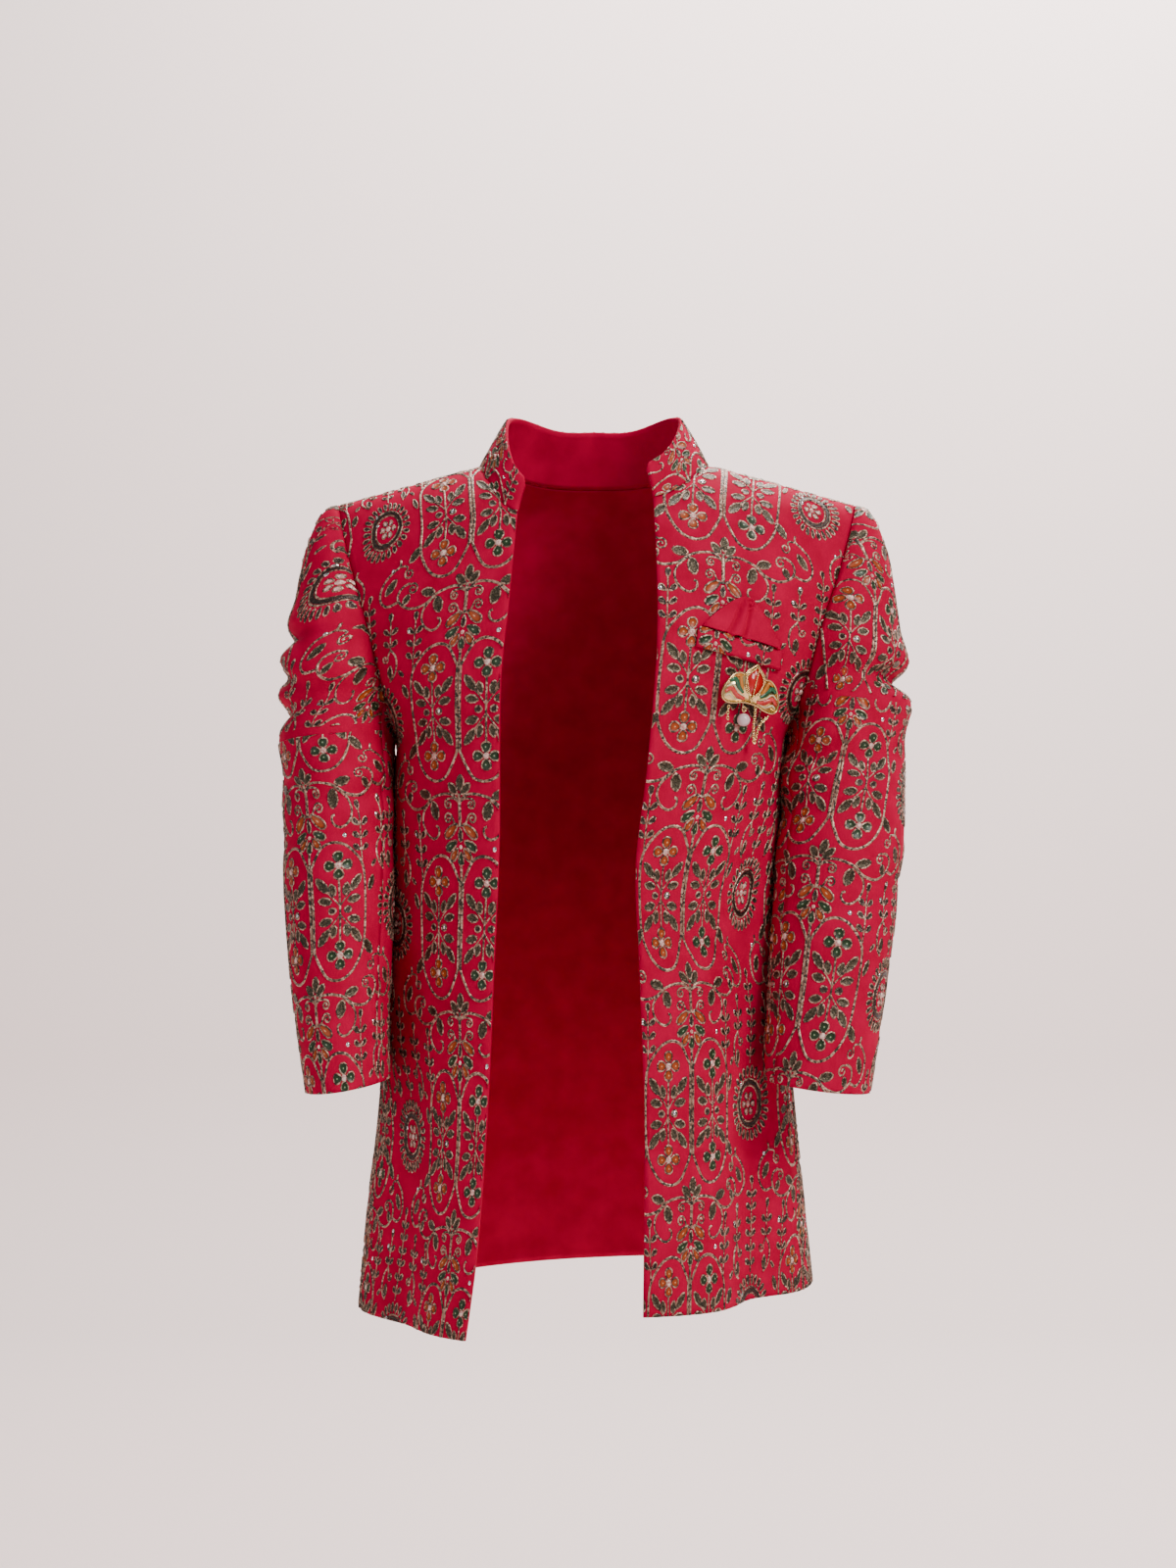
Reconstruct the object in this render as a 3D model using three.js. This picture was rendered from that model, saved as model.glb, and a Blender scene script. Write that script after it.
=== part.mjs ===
// A child's embroidered sherwani coat, worn open: two fronts, a back, two-piece sleeves, a stand
// collar, a welt breast pocket with its folded square, and a winged brooch with a pearl drop.
// Millimetres, +Z up. The front faces -Y and +X is the wearer's left. The origin is the middle of
// the neck at the height of the collar seam, where the wearer's shoulders carry the coat.
//
// Every cloth piece is a thin wall. Its outer face is sampled from a smooth surface, and its inner
// face lies one wall deeper along that surface's own normals, so neighbours meet face to face.
import * as THREE from "three";

// ---- Driving dimensions ---------------------------------------------------------------------
const SEAM_GAP = 0.3;
const CLOTH = 2.0; // embroidered shell and lining together
const ARMPIT_Z = -175;
const SHOULDER_REACH = 162; // from the middle to the shoulder point
const SHOULDER_COLUMN = 0.93; // share of the chest's half width under the shoulder point
const NECK_REACH = 67; // from the middle to the side of the neck
const NECK_COLUMN = 0.52;
const SHOULDER_SLOPE = 0.27;
const SHOULDER_ROLL = 2.6; // power of the curve from chest to shoulder ridge
const HEM_Z = -521;
const HEM_DIP = 4; // the front hangs this much lower than the sides
const HEM_TILT = 8.5; // the wearer's left hem hangs this much higher, the right this much lower
const COLLAR_WALL = 2.2;
const COLLAR_FRONT_HEIGHT = 24;
const COLLAR_BACK_HEIGHT = 38;
const NECK_MIDDLE_Y = -8;

// Body rings: height, half width on the wearer's left and right, half depth in front and behind.
const RINGS = [
  [-535, 138, 151, 104, 103],
  [-470, 131, 145, 101, 99],
  [-400, 124, 137, 97, 95],
  [-330, 118, 134, 93, 89],
  [-260, 115, 131, 90, 85],
  [-200, 117, 128, 92, 89],
  [ARMPIT_Z, 118, 126, 93, 91],
];
// Where each front's edge hangs: height, distance from the middle.
const LEFT_EDGE = [[-530, 27], [-400, 28], [-310, 25], [-250, 23], [-190, 30], [-110, 36], [-20, 34]];
const RIGHT_EDGE = [[-540, 80], [-480, 72], [-400, 66], [-310, 62], [-240, 59], [-140, 58], [-90, 53], [-30, 48]];
// Sleeve rings: height, middle x, middle y, half width, half depth.
const LEFT_SLEEVE = [
  [-391, 132, -64, 32.5, 33],
  [-345, 138, -51, 35.5, 37],
  [-292, 144, -35, 38.5, 42],
  [-240, 150.5, -20, 40, 45],
  [-197, 152.5, -9, 40.5, 46],
];
const RIGHT_SLEEVE = [
  [-391, 151, -60, 25, 38],
  [-345, 156, -48, 28.5, 43],
  [-292, 160, -34, 31, 47],
  [-240, 162, -20, 32.5, 50],
  [-197, 163, -9, 33, 51],
];
const CUFF_Z = -384;
const CUFF_TILT = 4; // the cuff's outer side is this much lower, and its inner side higher

// Soft folds, as [height at the outer side, fall round the sleeve, depth, width, middle turn, spread].
const LEFT_FOLDS = [
  [-139, 6, 11, 7, 15, 75],
  [-172, -14, 5, 9, 100, 60],
  [-222, 10, 3.5, 12, 150, 70],
  [-262, -8, 2.5, 12, 60, 60],
];
const RIGHT_FOLDS = [
  [-114, 10, 6.5, 5.5, 0, 60],
  [-134, -8, 5.5, 5.5, 30, 70],
  [-161, 12, 8, 7, 40, 80],
  [-196, -16, 5, 9, 100, 60],
  [-238, 8, 3, 12, 90, 70],
];
// Drape of the skirt: side, turn in degrees, height, depth, spread in degrees, reach up and down.
const SKIRT_FOLDS = [
  [1, 50, -560, 17, 14, 250],
  [-1, 58, -560, 13, 16, 230],
  [-1, 118, -540, 6, 13, 150],
  [1, 120, -540, 6, 13, 150],
  [1, 155, -540, 4, 11, 160],
];

const RAD = Math.PI / 180;
const V = (x, y, z) => new THREE.Vector3(x, y, z);
const mix = (a, b, t) => a + (b - a) * t;

// ---- Curves through a short list of stations ---------------------------------------------------
// Value number k of a table sorted by its first column, on a smooth curve through its rows.
function along(table, at, k = 1) {
  const last = table.length - 1;
  const t = THREE.MathUtils.clamp(at, table[0][0], table[last][0]);
  let i = 0;
  while (i < last - 1 && t > table[i + 1][0]) i++;
  const slope = (n) => {
    const a = Math.max(n - 1, 0);
    const b = Math.min(n + 1, last);
    return (table[b][k] - table[a][k]) / (table[b][0] - table[a][0]);
  };
  const span = table[i + 1][0] - table[i][0];
  const s = (t - table[i][0]) / span;
  return (
    table[i][k] * (1 + 2 * s) * (1 - s) ** 2 + slope(i) * span * s * (1 - s) ** 2 +
    table[i + 1][k] * s * s * (3 - 2 * s) + slope(i + 1) * span * s * s * (s - 1)
  );
}

const bump = (t) => Math.exp(-t * t);

// ---- The body's surface -------------------------------------------------------------------------
// side is 1 on the wearer's left and -1 on the right. turn runs from 0 at the middle of the front
// to PI at the middle of the back. rise runs from 0 at the hem to 1 at the armpit and 2 on the
// shoulder ridge.
const ROUNDNESS = 0.92;

function hemAt(side, turn) {
  const front = Math.max(Math.cos(turn), 0);
  return HEM_Z - HEM_DIP * front + side * HEM_TILT * (turn < Math.PI / 2 ? 1 : Math.sin(turn));
}

function ringPoint(side, turn, z) {
  const sine = Math.abs(Math.sin(turn));
  const cosine = Math.cos(turn);
  let inward = 0;
  for (const [where, at, level, depth, spread, reach] of SKIRT_FOLDS) {
    if (where === side) inward += depth * bump((turn / RAD - at) / spread) * bump((z - level) / reach);
  }
  const width = along(RINGS, z, side > 0 ? 1 : 2) - inward;
  const depth = along(RINGS, z, cosine > 0 ? 3 : 4) - inward;
  return V(
    side * width * sine ** ROUNDNESS,
    -depth * Math.sign(cosine) * Math.abs(cosine) ** ROUNDNESS,
    z,
  );
}

function ridgeZ(x) {
  const past = Math.abs(x) - NECK_REACH;
  return -SHOULDER_SLOPE * 0.5 * (past + Math.hypot(past, 10));
}

function bodyPoint(side, turn, rise) {
  if (rise <= 1) return ringPoint(side, turn, mix(hemAt(side, turn), ARMPIT_Z, rise));
  const low = ringPoint(side, turn, ARMPIT_Z);
  const share = Math.abs(Math.sin(turn)) ** ROUNDNESS;
  const halfChest = Math.abs(low.x) / Math.max(share, 1e-6);
  const widening = (SHOULDER_REACH - halfChest * SHOULDER_COLUMN) / SHOULDER_COLUMN ** 3;
  const topX = side * (halfChest * share + widening * share ** 3);
  const roll = Math.min(rise - 1, 1) * Math.PI / 2;
  const climb = Math.sin(roll) ** (2 / SHOULDER_ROLL);
  const depth = Math.max(Math.cos(roll), 0) ** (2 / SHOULDER_ROLL);
  const spread = (1.05 * climb * climb) / (climb + 0.05); // leaves the chest ring smoothly
  return V(
    mix(low.x, topX, spread * (1.35 - 0.35 * spread)),
    low.y * depth,
    mix(ARMPIT_Z, ridgeZ(topX), climb),
  );
}

// The turn at which a row of the body reaches a wanted distance from the middle.
function turnAt(side, rise, reachOf) {
  let low = 0;
  let high = Math.PI / 2;
  for (let n = 0; n < 40; n++) {
    const middle = (low + high) / 2;
    const p = bodyPoint(side, middle, rise);
    if (Math.abs(p.x) < reachOf(p.z)) low = middle;
    else high = middle;
  }
  return low;
}

// The rise at which a column of the body reaches a height above the armpit.
function riseAt(side, turn, z) {
  let low = 1;
  let high = 2;
  for (let n = 0; n < 40; n++) {
    const middle = (low + high) / 2;
    if (bodyPoint(side, turn, middle).z < z) low = middle;
    else high = middle;
  }
  return low;
}

const columnTurn = (share) => Math.asin(share ** (1 / ROUNDNESS));
const SHOULDER_TURN = columnTurn(SHOULDER_COLUMN);
const NECK_TURN = columnTurn(NECK_COLUMN);
const ARMHOLE_STRAIGHT = 1.3; // above this rise the armhole follows the shoulder's column

// The turn where a front ends at the side: the side seam, then the armhole. The back mirrors it.
function sideTurn(rise) {
  if (rise <= 1) return Math.PI / 2;
  const drop = Math.max((ARMHOLE_STRAIGHT - rise) / (ARMHOLE_STRAIGHT - 1), 0);
  return mix(SHOULDER_TURN, Math.PI / 2, 1 - Math.sqrt(1 - drop * drop));
}

const EDGES = { 1: LEFT_EDGE, [-1]: RIGHT_EDGE };
const NECK_FRONT_Z = { 1: -27, [-1]: -37 };
const NECK_FRONT = {};
for (const side of [1, -1]) {
  const reach = () => along(EDGES[side], NECK_FRONT_Z[side]);
  let turn = 0.3;
  let rise = 1.5;
  for (let n = 0; n < 6; n++) {
    rise = riseAt(side, turn, NECK_FRONT_Z[side]);
    turn = turnAt(side, rise, reach);
  }
  NECK_FRONT[side] = { turn, rise };
}

// The turn where a front begins: its edge, then the neckline up to the side of the neck.
function edgeTurn(side, rise) {
  const start = NECK_FRONT[side];
  if (rise <= start.rise) return turnAt(side, rise, (z) => along(EDGES[side], z));
  const t = (rise - start.rise) / (2 - start.rise);
  return mix(start.turn, NECK_TURN, (1 - (1 - t) ** 2) ** 0.6);
}

// The back's neckline dips to this rise in the middle.
const BACK_NECK_RISE = 1.76;
const BACK_NECK_SHARE = NECK_TURN / SHOULDER_TURN;

function backTop(share) {
  const across = Math.min(Math.abs(share) / BACK_NECK_SHARE, 1);
  return mix(BACK_NECK_RISE, 2, across ** 3.2);
}

// ---- Walls from sampled surfaces ------------------------------------------------------------------
// at(p, q) is a point of the outer face. Columns follow p and rows follow q, and p turned towards q
// is anticlockwise from outside.
const STEP = 1e-3;

function normalOf(at, p, q) {
  const across = at(p + STEP, q).sub(at(p - STEP, q));
  const up = at(p, q + STEP).sub(at(p, q - STEP));
  return across.cross(up).normalize();
}

function wallOf(rows, thickness) {
  const height = rows.length;
  const width = rows[0].length;
  const positions = [];
  for (const depth of [0, thickness]) {
    for (const row of rows) {
      for (const { point, normal } of row) positions.push(...point.clone().addScaledVector(normal, -depth));
    }
  }
  const inner = height * width;
  const id = (i, j) => i * width + j;
  const faces = [];
  const quad = (a, b, c, d) => faces.push(a, b, c, a, c, d);
  for (let i = 0; i < height - 1; i++) {
    for (let j = 0; j < width - 1; j++) {
      const [a, b, c, d] = [id(i, j), id(i, j + 1), id(i + 1, j + 1), id(i + 1, j)];
      quad(a, b, c, d);
      quad(a + inner, d + inner, c + inner, b + inner);
    }
  }
  const rim = [];
  for (let j = 0; j < width - 1; j++) rim.push(id(0, j));
  for (let i = 0; i < height - 1; i++) rim.push(id(i, width - 1));
  for (let j = width - 1; j > 0; j--) rim.push(id(height - 1, j));
  for (let i = height - 1; i > 0; i--) rim.push(id(i, 0));
  rim.forEach((a, n) => {
    const b = rim[(n + 1) % rim.length];
    quad(b, a, a + inner, b + inner);
  });
  return new THREE.BufferGeometry()
    .setAttribute("position", new THREE.Float32BufferAttribute(positions, 3))
    .setIndex(faces);
}

function steps(from, to, count) {
  return Array.from({ length: count + 1 }, (_, n) => mix(from, to, n / count));
}

// ---- Materials ----------------------------------------------------------------------------------
const cloth = (color) => new THREE.MeshStandardMaterial({ color, roughness: 0.85, metalness: 0 });
const crimson = cloth(0xb5062f);
const silk = cloth(0xa3052b);
const gold = new THREE.MeshStandardMaterial({ color: 0xd9a441, roughness: 0.3, metalness: 1 });
const pearl = new THREE.MeshStandardMaterial({ color: 0xeadfdc, roughness: 0.2, metalness: 0 });

const coat = new THREE.Group();

function add(name, geometry, material) {
  const mesh = new THREE.Mesh(geometry, material);
  mesh.name = name;
  coat.add(mesh);
  return mesh;
}

// ---- Fronts and back ------------------------------------------------------------------------------
// One list of rows serves both, so that the side seam's two edges run side by side.
const BODY_RISES = [
  ...steps(0, 0.9, 17),
  0.96, 1, 1.012, 1.045, 1.1, 1.17, ARMHOLE_STRAIGHT,
  ...steps(1.4, 1.9, 5),
  1.95, 2,
];
const SEAM_SHIFT = SEAM_GAP / 2; // fronts move forward and the back moves back by this
const neckEdge = {}; // the cut edge the collar stands on, piece by piece

function frontRow(side, rise, columns) {
  const from = edgeTurn(side, rise);
  const to = sideTurn(rise);
  const at = (p, q) => bodyPoint(side, p, Math.min(q, 2));
  return steps(from, to, columns).map((turn) => ({
    point: bodyPoint(side, turn, rise).add(V(0, -SEAM_SHIFT, 0)),
    normal: normalOf(at, turn, rise).multiplyScalar(side),
  }));
}

function makeFront(name, side) {
  const corner = NECK_FRONT[side].rise;
  const rises = [...BODY_RISES.filter((r) => Math.abs(r - corner) > 0.035), corner].sort((a, b) => a - b);
  const rows = rises.map((rise) => frontRow(side, rise, 10));
  neckEdge[name] = rows.slice(rises.indexOf(corner)).map((row) => row[0].point.clone());
  if (side < 0) rows.forEach((row) => row.reverse());
  add(name, wallOf(rows, CLOTH), crimson);
}

const BACK_SHARES = [
  ...steps(1, BACK_NECK_SHARE, 5).slice(0, -1),
  ...steps(BACK_NECK_SHARE, -BACK_NECK_SHARE, 8),
  ...steps(-BACK_NECK_SHARE, -1, 5).slice(1),
];
const BACK_BEND = 1.3; // rows above this rise close up under the dipped neckline

// share runs from 1 at the left side, over the middle of the back, to -1 at the right side.
function backSpot(share, rise) {
  const side = share < 0 ? -1 : 1;
  const turn = Math.PI - Math.abs(share) * sideTurn(rise);
  const lifted = Math.max((rise - BACK_BEND) / (2 - BACK_BEND), 0);
  const height = rise <= BACK_BEND ? rise : mix(BACK_BEND, backTop(share), lifted);
  const normal = normalOf((p, q) => bodyPoint(side, p, Math.min(q, 2)), turn, height).multiplyScalar(side);
  if (share === 0) normal.x = 0;
  return { point: bodyPoint(side, turn, height).add(V(0, SEAM_SHIFT, 0)), normal: normal.normalize() };
}

function makeBack() {
  const shares = BACK_SHARES.map((share) => (Math.abs(share) < STEP ? 0 : share));
  const rows = BODY_RISES.map((rise) => shares.map((share) => backSpot(share, rise)));
  neckEdge.back = rows.at(-1).slice(5, -5).map((spot) => spot.point.clone());
  add("back", wallOf(rows, CLOTH), crimson);
}

makeFront("front_left", 1);
makeFront("front_right", -1);
makeBack();

// ---- Sleeves ----------------------------------------------------------------------------------------
// around runs from 0 on the outer side, through 90 in front and 180 at the armpit, to 360.
// down runs from 0 at the armhole to 1 at the full ring under the armpit, and to 2 at the cuff.
const SLEEVE_TABLES = { 1: LEFT_SLEEVE, [-1]: RIGHT_SLEEVE };
const SLEEVE_FOLDS = { 1: LEFT_FOLDS, [-1]: RIGHT_FOLDS };
const FULL_RING_Z = -197;
const REST_GAP = 2.5; // between a sleeve and the side of the body it hangs against

// The armhole's edge as a curve from the shoulder point down the front (or the back) to the armpit.
function armholeHalf(side, front) {
  const rises = [...steps(2, ARMHOLE_STRAIGHT, 14), ...steps(85, 0, 14).map((a) =>
    ARMHOLE_STRAIGHT - (ARMHOLE_STRAIGHT - 1) * Math.cos(a * RAD))];
  const points = rises.map((rise) => {
    const turn = sideTurn(rise);
    return bodyPoint(side, front ? turn : Math.PI - turn, rise);
  });
  return new THREE.CatmullRomCurve3(points);
}

const ARMHOLES = {};
for (const side of [1, -1]) ARMHOLES[side] = [armholeHalf(side, true), armholeHalf(side, false)];

function sleeveRing(side, around, z) {
  const table = SLEEVE_TABLES[side];
  const [x, y, width, depth] = [1, 2, 3, 4].map((k) => along(table, z, k));
  return V(side * (x + width * Math.cos(around)), y - depth * Math.sin(around), z);
}

function sleeveCap(side, around, t) {
  const half = around <= Math.PI ? around / Math.PI : 2 - around / Math.PI;
  const start = ARMHOLES[side][around <= Math.PI ? 0 : 1].getPointAt(THREE.MathUtils.clamp(half, 0, 1));
  const end = sleeveRing(side, around, FULL_RING_Z);
  const under = (1 - Math.cos(around)) / 2;
  const outward = V(side, 0, 0).multiplyScalar(1 - 0.55 * under);
  outward.add(V(0, -0.4 * Math.sin(around), 0.18 * (1 - under) - 0.95 * under)).normalize();
  start.addScaledVector(V(side, 0, 0), SEAM_GAP).addScaledVector(outward, 0.5 * SEAM_GAP);
  const far = start.distanceTo(end);
  const below = sleeveRing(side, around, FULL_RING_Z - 20).sub(end).normalize();
  const leave = outward.multiplyScalar(far * mix(0.5, 0.75, under));
  const arrive = below.multiplyScalar(far * 0.85);
  const [s, r] = [t, 1 - t];
  return start.multiplyScalar((1 + 2 * s) * r * r)
    .addScaledVector(leave, s * r * r)
    .addScaledVector(end, s * s * (3 - 2 * s))
    .addScaledVector(arrive, -s * s * r);
}

function smoothSleeve(side, around, down) {
  if (down <= 1) return sleeveCap(side, around, down);
  const bottom = CUFF_Z - CUFF_TILT * Math.cos(around);
  return sleeveRing(side, around, mix(FULL_RING_Z, bottom, down - 1));
}

// Where a sleeve would press into the body, its cloth lies flat against the body's side instead.
function besideBody(side, point, share) {
  const z = Math.min(point.z, ARMPIT_Z);
  const depth = along(RINGS, z, point.y < 0 ? 3 : 4);
  const cosine = Math.min(Math.abs(point.y) / depth, 1) ** (1 / ROUNDNESS);
  const width = along(RINGS, z, side > 0 ? 1 : 2) * Math.sqrt(1 - cosine * cosine) ** ROUNDNESS;
  const past = width + REST_GAP - Math.abs(point.x);
  const push = 0.5 * (past + Math.hypot(past, 2));
  return point.add(V(side * push * share, 0, 0));
}

function sleevePoint(side, around, down) {
  const turn = ((around % (2 * Math.PI)) + 2 * Math.PI) % (2 * Math.PI);
  const point = smoothSleeve(side, turn, down);
  let inward = 0;
  for (const [level, fall, depth, width, at, spread] of SLEEVE_FOLDS[side]) {
    const away = ((turn / RAD - at + 540) % 360) - 180;
    const off = (point.z - level - fall * Math.sin(turn)) / width;
    inward += depth * bump(away / spread) * (bump(off) - 0.45 * bump(off / 1.8 - 1.1) - 0.45 * bump(off / 1.8 + 1.1));
  }
  const seam = Math.min(down / 0.25, 1);
  const middle = along(SLEEVE_TABLES[side], point.z, 1) * side;
  const out = V(point.x - middle, point.y - along(SLEEVE_TABLES[side], point.z, 2), 0).normalize();
  point.addScaledVector(out, -inward * seam);
  return besideBody(side, point, Math.min(down / 0.15, 1));
}

const SLEEVE_DOWNS = [0, 0.07, 0.17, 0.28, 0.4, 0.52, 0.6, 0.68, 0.76, 0.84, 0.92, 1, ...steps(1.1, 2, 10)];
const FORE_SEAM = 145; // the two pieces of a sleeve meet at these turns
const HIND_SEAM = 250;

function sleevePiece(side, from, to, columns) {
  const gap = (SEAM_SHIFT + 0.05) / 40;
  const turns = steps(from * RAD + gap, to * RAD - gap, columns);
  const at = (p, q) => sleevePoint(side, p, THREE.MathUtils.clamp(q, 0, 2));
  return wallOf(
    SLEEVE_DOWNS.map((down) => {
      const row = turns.map((turn) => ({
        point: sleevePoint(side, turn, down),
        normal: normalOf(at, turn, down).multiplyScalar(side),
      }));
      return side > 0 ? row : row.reverse();
    }),
    CLOTH,
  );
}

for (const [word, side] of [["left", 1], ["right", -1]]) {
  add(`sleeve_top_${word}`, sleevePiece(side, HIND_SEAM - 360, FORE_SEAM, 12), crimson);
  add(`sleeve_under_${word}`, sleevePiece(side, FORE_SEAM, HIND_SEAM, 5), crimson);
}

// ---- Collar -----------------------------------------------------------------------------------------
// It stands on the cut neck edge, from the left front's corner round the back to the right front's.
// Both front ends get two extra columns for their rounded corners.
function collarBase() {
  const round = [...neckEdge.front_left, ...neckEdge.back, ...neckEdge.front_right.reverse()];
  const near = (a, b, far) => a.clone().add(b.clone().sub(a).setLength(far));
  const start = [round[0], near(round[0], round[1], 1.5), near(round[0], round[1], 4)];
  const [end, before] = [round.at(-1), round.at(-2)];
  return [...start, ...round.slice(1, -1), near(end, before, 4), near(end, before, 1.5), end];
}

function makeCollar() {
  const base = collarBase();
  const reach = [0];
  base.slice(1).forEach((p, n) => reach.push(reach[n] + p.distanceTo(base[n])));
  const length = reach.at(-1);
  const at = (n, up) => {
    const i = THREE.MathUtils.clamp(n, 0, base.length - 1);
    const end = Math.min(reach[i], length - reach[i]);
    const rise = THREE.MathUtils.smoothstep(end, 0, 95);
    const height = mix(COLLAR_FRONT_HEIGHT, COLLAR_BACK_HEIGHT, rise);
    const cut = 5 * Math.max(1 - end / 4.5, 0) ** 2 * up;
    const inward = V(-base[i].x, NECK_MIDDLE_Y - base[i].y, 0).normalize();
    const lean = (mix(24, 31, rise) - 8 * THREE.MathUtils.smoothstep(end, 120, 190)) * RAD;
    const stand = V(0, 0, Math.cos(lean)).addScaledVector(inward, Math.sin(lean));
    return base[i].clone().addScaledVector(stand, (height - cut) * up).add(V(0, 0, 1.7 * SEAM_GAP));
  };
  const rows = steps(0, 1, 3).map((up) =>
    base.map((_, n) => {
      const across = at(n + 1, up).sub(at(n - 1, up));
      const normal = across.cross(at(n, 1).sub(at(n, 0))).normalize();
      if (up === 0) normal.setZ(0).normalize(); // its foot lies flat on the cut edge
      return { point: at(n, up), normal };
    }),
  );
  add("collar", wallOf(rows, COLLAR_WALL), crimson);
}

makeCollar();

// ---- Things that lie on the left breast ------------------------------------------------------------
// A point of the left front's outer face by its place in the front view, moved out by lift.
function onBreast(x, z, lift) {
  let turn = 0.8;
  let rise = 1.3;
  for (let n = 0; n < 8; n++) {
    rise = riseAt(1, turn, z);
    turn = turnAt(1, rise, () => x);
  }
  const normal = normalOf((p, q) => bodyPoint(1, p, q), turn, rise);
  return { point: bodyPoint(1, turn, rise).add(V(0, -SEAM_SHIFT, 0)).addScaledVector(normal, lift), normal };
}

const WELT_LEFT = 60;
const WELT_RIGHT = 112;
const WELT_TOP_Z = -107; // of its inner end
const WELT_HEIGHT = 12.5;
const WELT_FALL = 0.25; // towards the armhole
const WELT_WALL = 1.4;
const LIFT = 0.5; // from the cloth under it

function weltTop(x) {
  return WELT_TOP_Z - WELT_FALL * (x - WELT_LEFT);
}

const weltRows = steps(1, 0, 2).map((down) =>
  steps(WELT_LEFT, WELT_RIGHT, 6).map((x) => onBreast(x - down * 1.5, weltTop(x) - down * WELT_HEIGHT, LIFT + WELT_WALL)),
);
add("pocket_welt", wallOf(weltRows, WELT_WALL), crimson);

// The square's upper edge climbs from the welt's inner end to one soft peak and falls to the other.
const SQUARE_LEFT = 63;
const SQUARE_RIGHT = 111;
const SQUARE_PEAK = 0.56;
const SQUARE_HEIGHT = 26;
const SQUARE_WALL = 3;

function squareTop(t) {
  const climb = t < SQUARE_PEAK ? t / SQUARE_PEAK : (1 - t) / (1 - SQUARE_PEAK);
  return 1.5 + (SQUARE_HEIGHT - 1.5) * (1 - (1 - climb) ** 1.35);
}

const squareRows = steps(0, 1, 3).map((up) =>
  steps(0, 1, 8).map((t) => {
    const x = mix(SQUARE_LEFT, SQUARE_RIGHT, t);
    return onBreast(x, weltTop(x) + 0.6 + squareTop(t) * up, LIFT + SQUARE_WALL);
  }),
);
add("pocket_square", wallOf(squareRows, SQUARE_WALL), silk);

// ---- Brooch ---------------------------------------------------------------------------------------
// It lies in its own plane, square to the cloth behind its middle. Its shapes are drawn in that
// plane, x to the wearer's left and y up, and its thickness points away from the cloth.
const BROOCH_X = 89;
const BROOCH_Z = -148;
const BROOCH_THICK = 2.4;
const BROOCH_LIFT = 5.0; // its pin and catch, and the cloth's curve, lie behind the plate

const BROOCH_TILT = 11; // degrees, its left wing up

const seat = onBreast(BROOCH_X, BROOCH_Z, BROOCH_LIFT);
const away = seat.normal;
const upward = V(0, 0, 1).addScaledVector(away, -away.z).normalize();
const sideways = upward.clone().cross(away);
const broochFrame = new THREE.Matrix4().makeBasis(sideways, upward, away).setPosition(seat.point);

function onBrooch(geometry) {
  return geometry.applyMatrix4(broochFrame);
}

function wingOutline() {
  const shape = new THREE.Shape();
  shape.moveTo(0, -4.5);
  shape.bezierCurveTo(6, -4, 12, -7.5, 18, -7);
  shape.bezierCurveTo(23, -6.5, 24, 0, 20, 5);
  shape.bezierCurveTo(17.5, 9.5, 13, 13, 8, 12);
  shape.bezierCurveTo(7.5, 15, 3.5, 16.5, 0, 19.5);
  shape.bezierCurveTo(-3.5, 16.5, -7.5, 15, -8, 12);
  shape.bezierCurveTo(-13, 13, -17.5, 9.5, -20, 5);
  shape.bezierCurveTo(-24, 0, -23, -6.5, -18, -7);
  shape.bezierCurveTo(-12, -7.5, -6, -4, 0, -4.5);
  return shape;
}

const plate = new THREE.ExtrudeGeometry(wingOutline(), { depth: BROOCH_THICK, bevelEnabled: false, curveSegments: 5 })
  .rotateZ(-BROOCH_TILT * RAD);
add("brooch_plate", onBrooch(plate), gold);

const CHAIN_WIRE = 0.7;

function chainTube(points, stepsAlong) {
  const curve = new THREE.CatmullRomCurve3(points.map(([x, y, z]) => V(x, y, z)));
  const section = new THREE.Shape();
  section.absarc(0, 0, CHAIN_WIRE, 0, 2 * Math.PI);
  return onBrooch(new THREE.ExtrudeGeometry(section, { steps: stepsAlong, extrudePath: curve, curveSegments: 4 }));
}

const CHAIN_PLANE = BROOCH_THICK / 2;
add("brooch_chain_long", chainTube([[4.2, -7.4, CHAIN_PLANE], [3.6, -18, CHAIN_PLANE], [4.8, -28.5, CHAIN_PLANE],
  [7.8, -18, CHAIN_PLANE], [14, -12.4, CHAIN_PLANE]], 22), gold);
add("brooch_chain_short", chainTube([[-16.8, -7, CHAIN_PLANE], [-17.1, -10, CHAIN_PLANE],
  [-16.9, -13.4, CHAIN_PLANE]], 6), gold);

// The pearl swings on a jump ring under the plate.
const PEARL_RADIUS = 4;
const PEARL_X = -4.6;
const BAIL_Y = -8;
const bail = new THREE.TorusGeometry(1.5, 0.45, 6, 14).translate(PEARL_X, BAIL_Y, CHAIN_PLANE);
add("brooch_bail", onBrooch(bail), gold);
const bead = new THREE.SphereGeometry(PEARL_RADIUS, 16, 10)
  .translate(PEARL_X, BAIL_Y - 2.4 - PEARL_RADIUS, CHAIN_PLANE);
add("brooch_pearl", onBrooch(bead), pearl);

export default coat;
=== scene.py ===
import bmesh
import bpy
import numpy as np
from mathutils import Matrix, Vector


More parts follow.
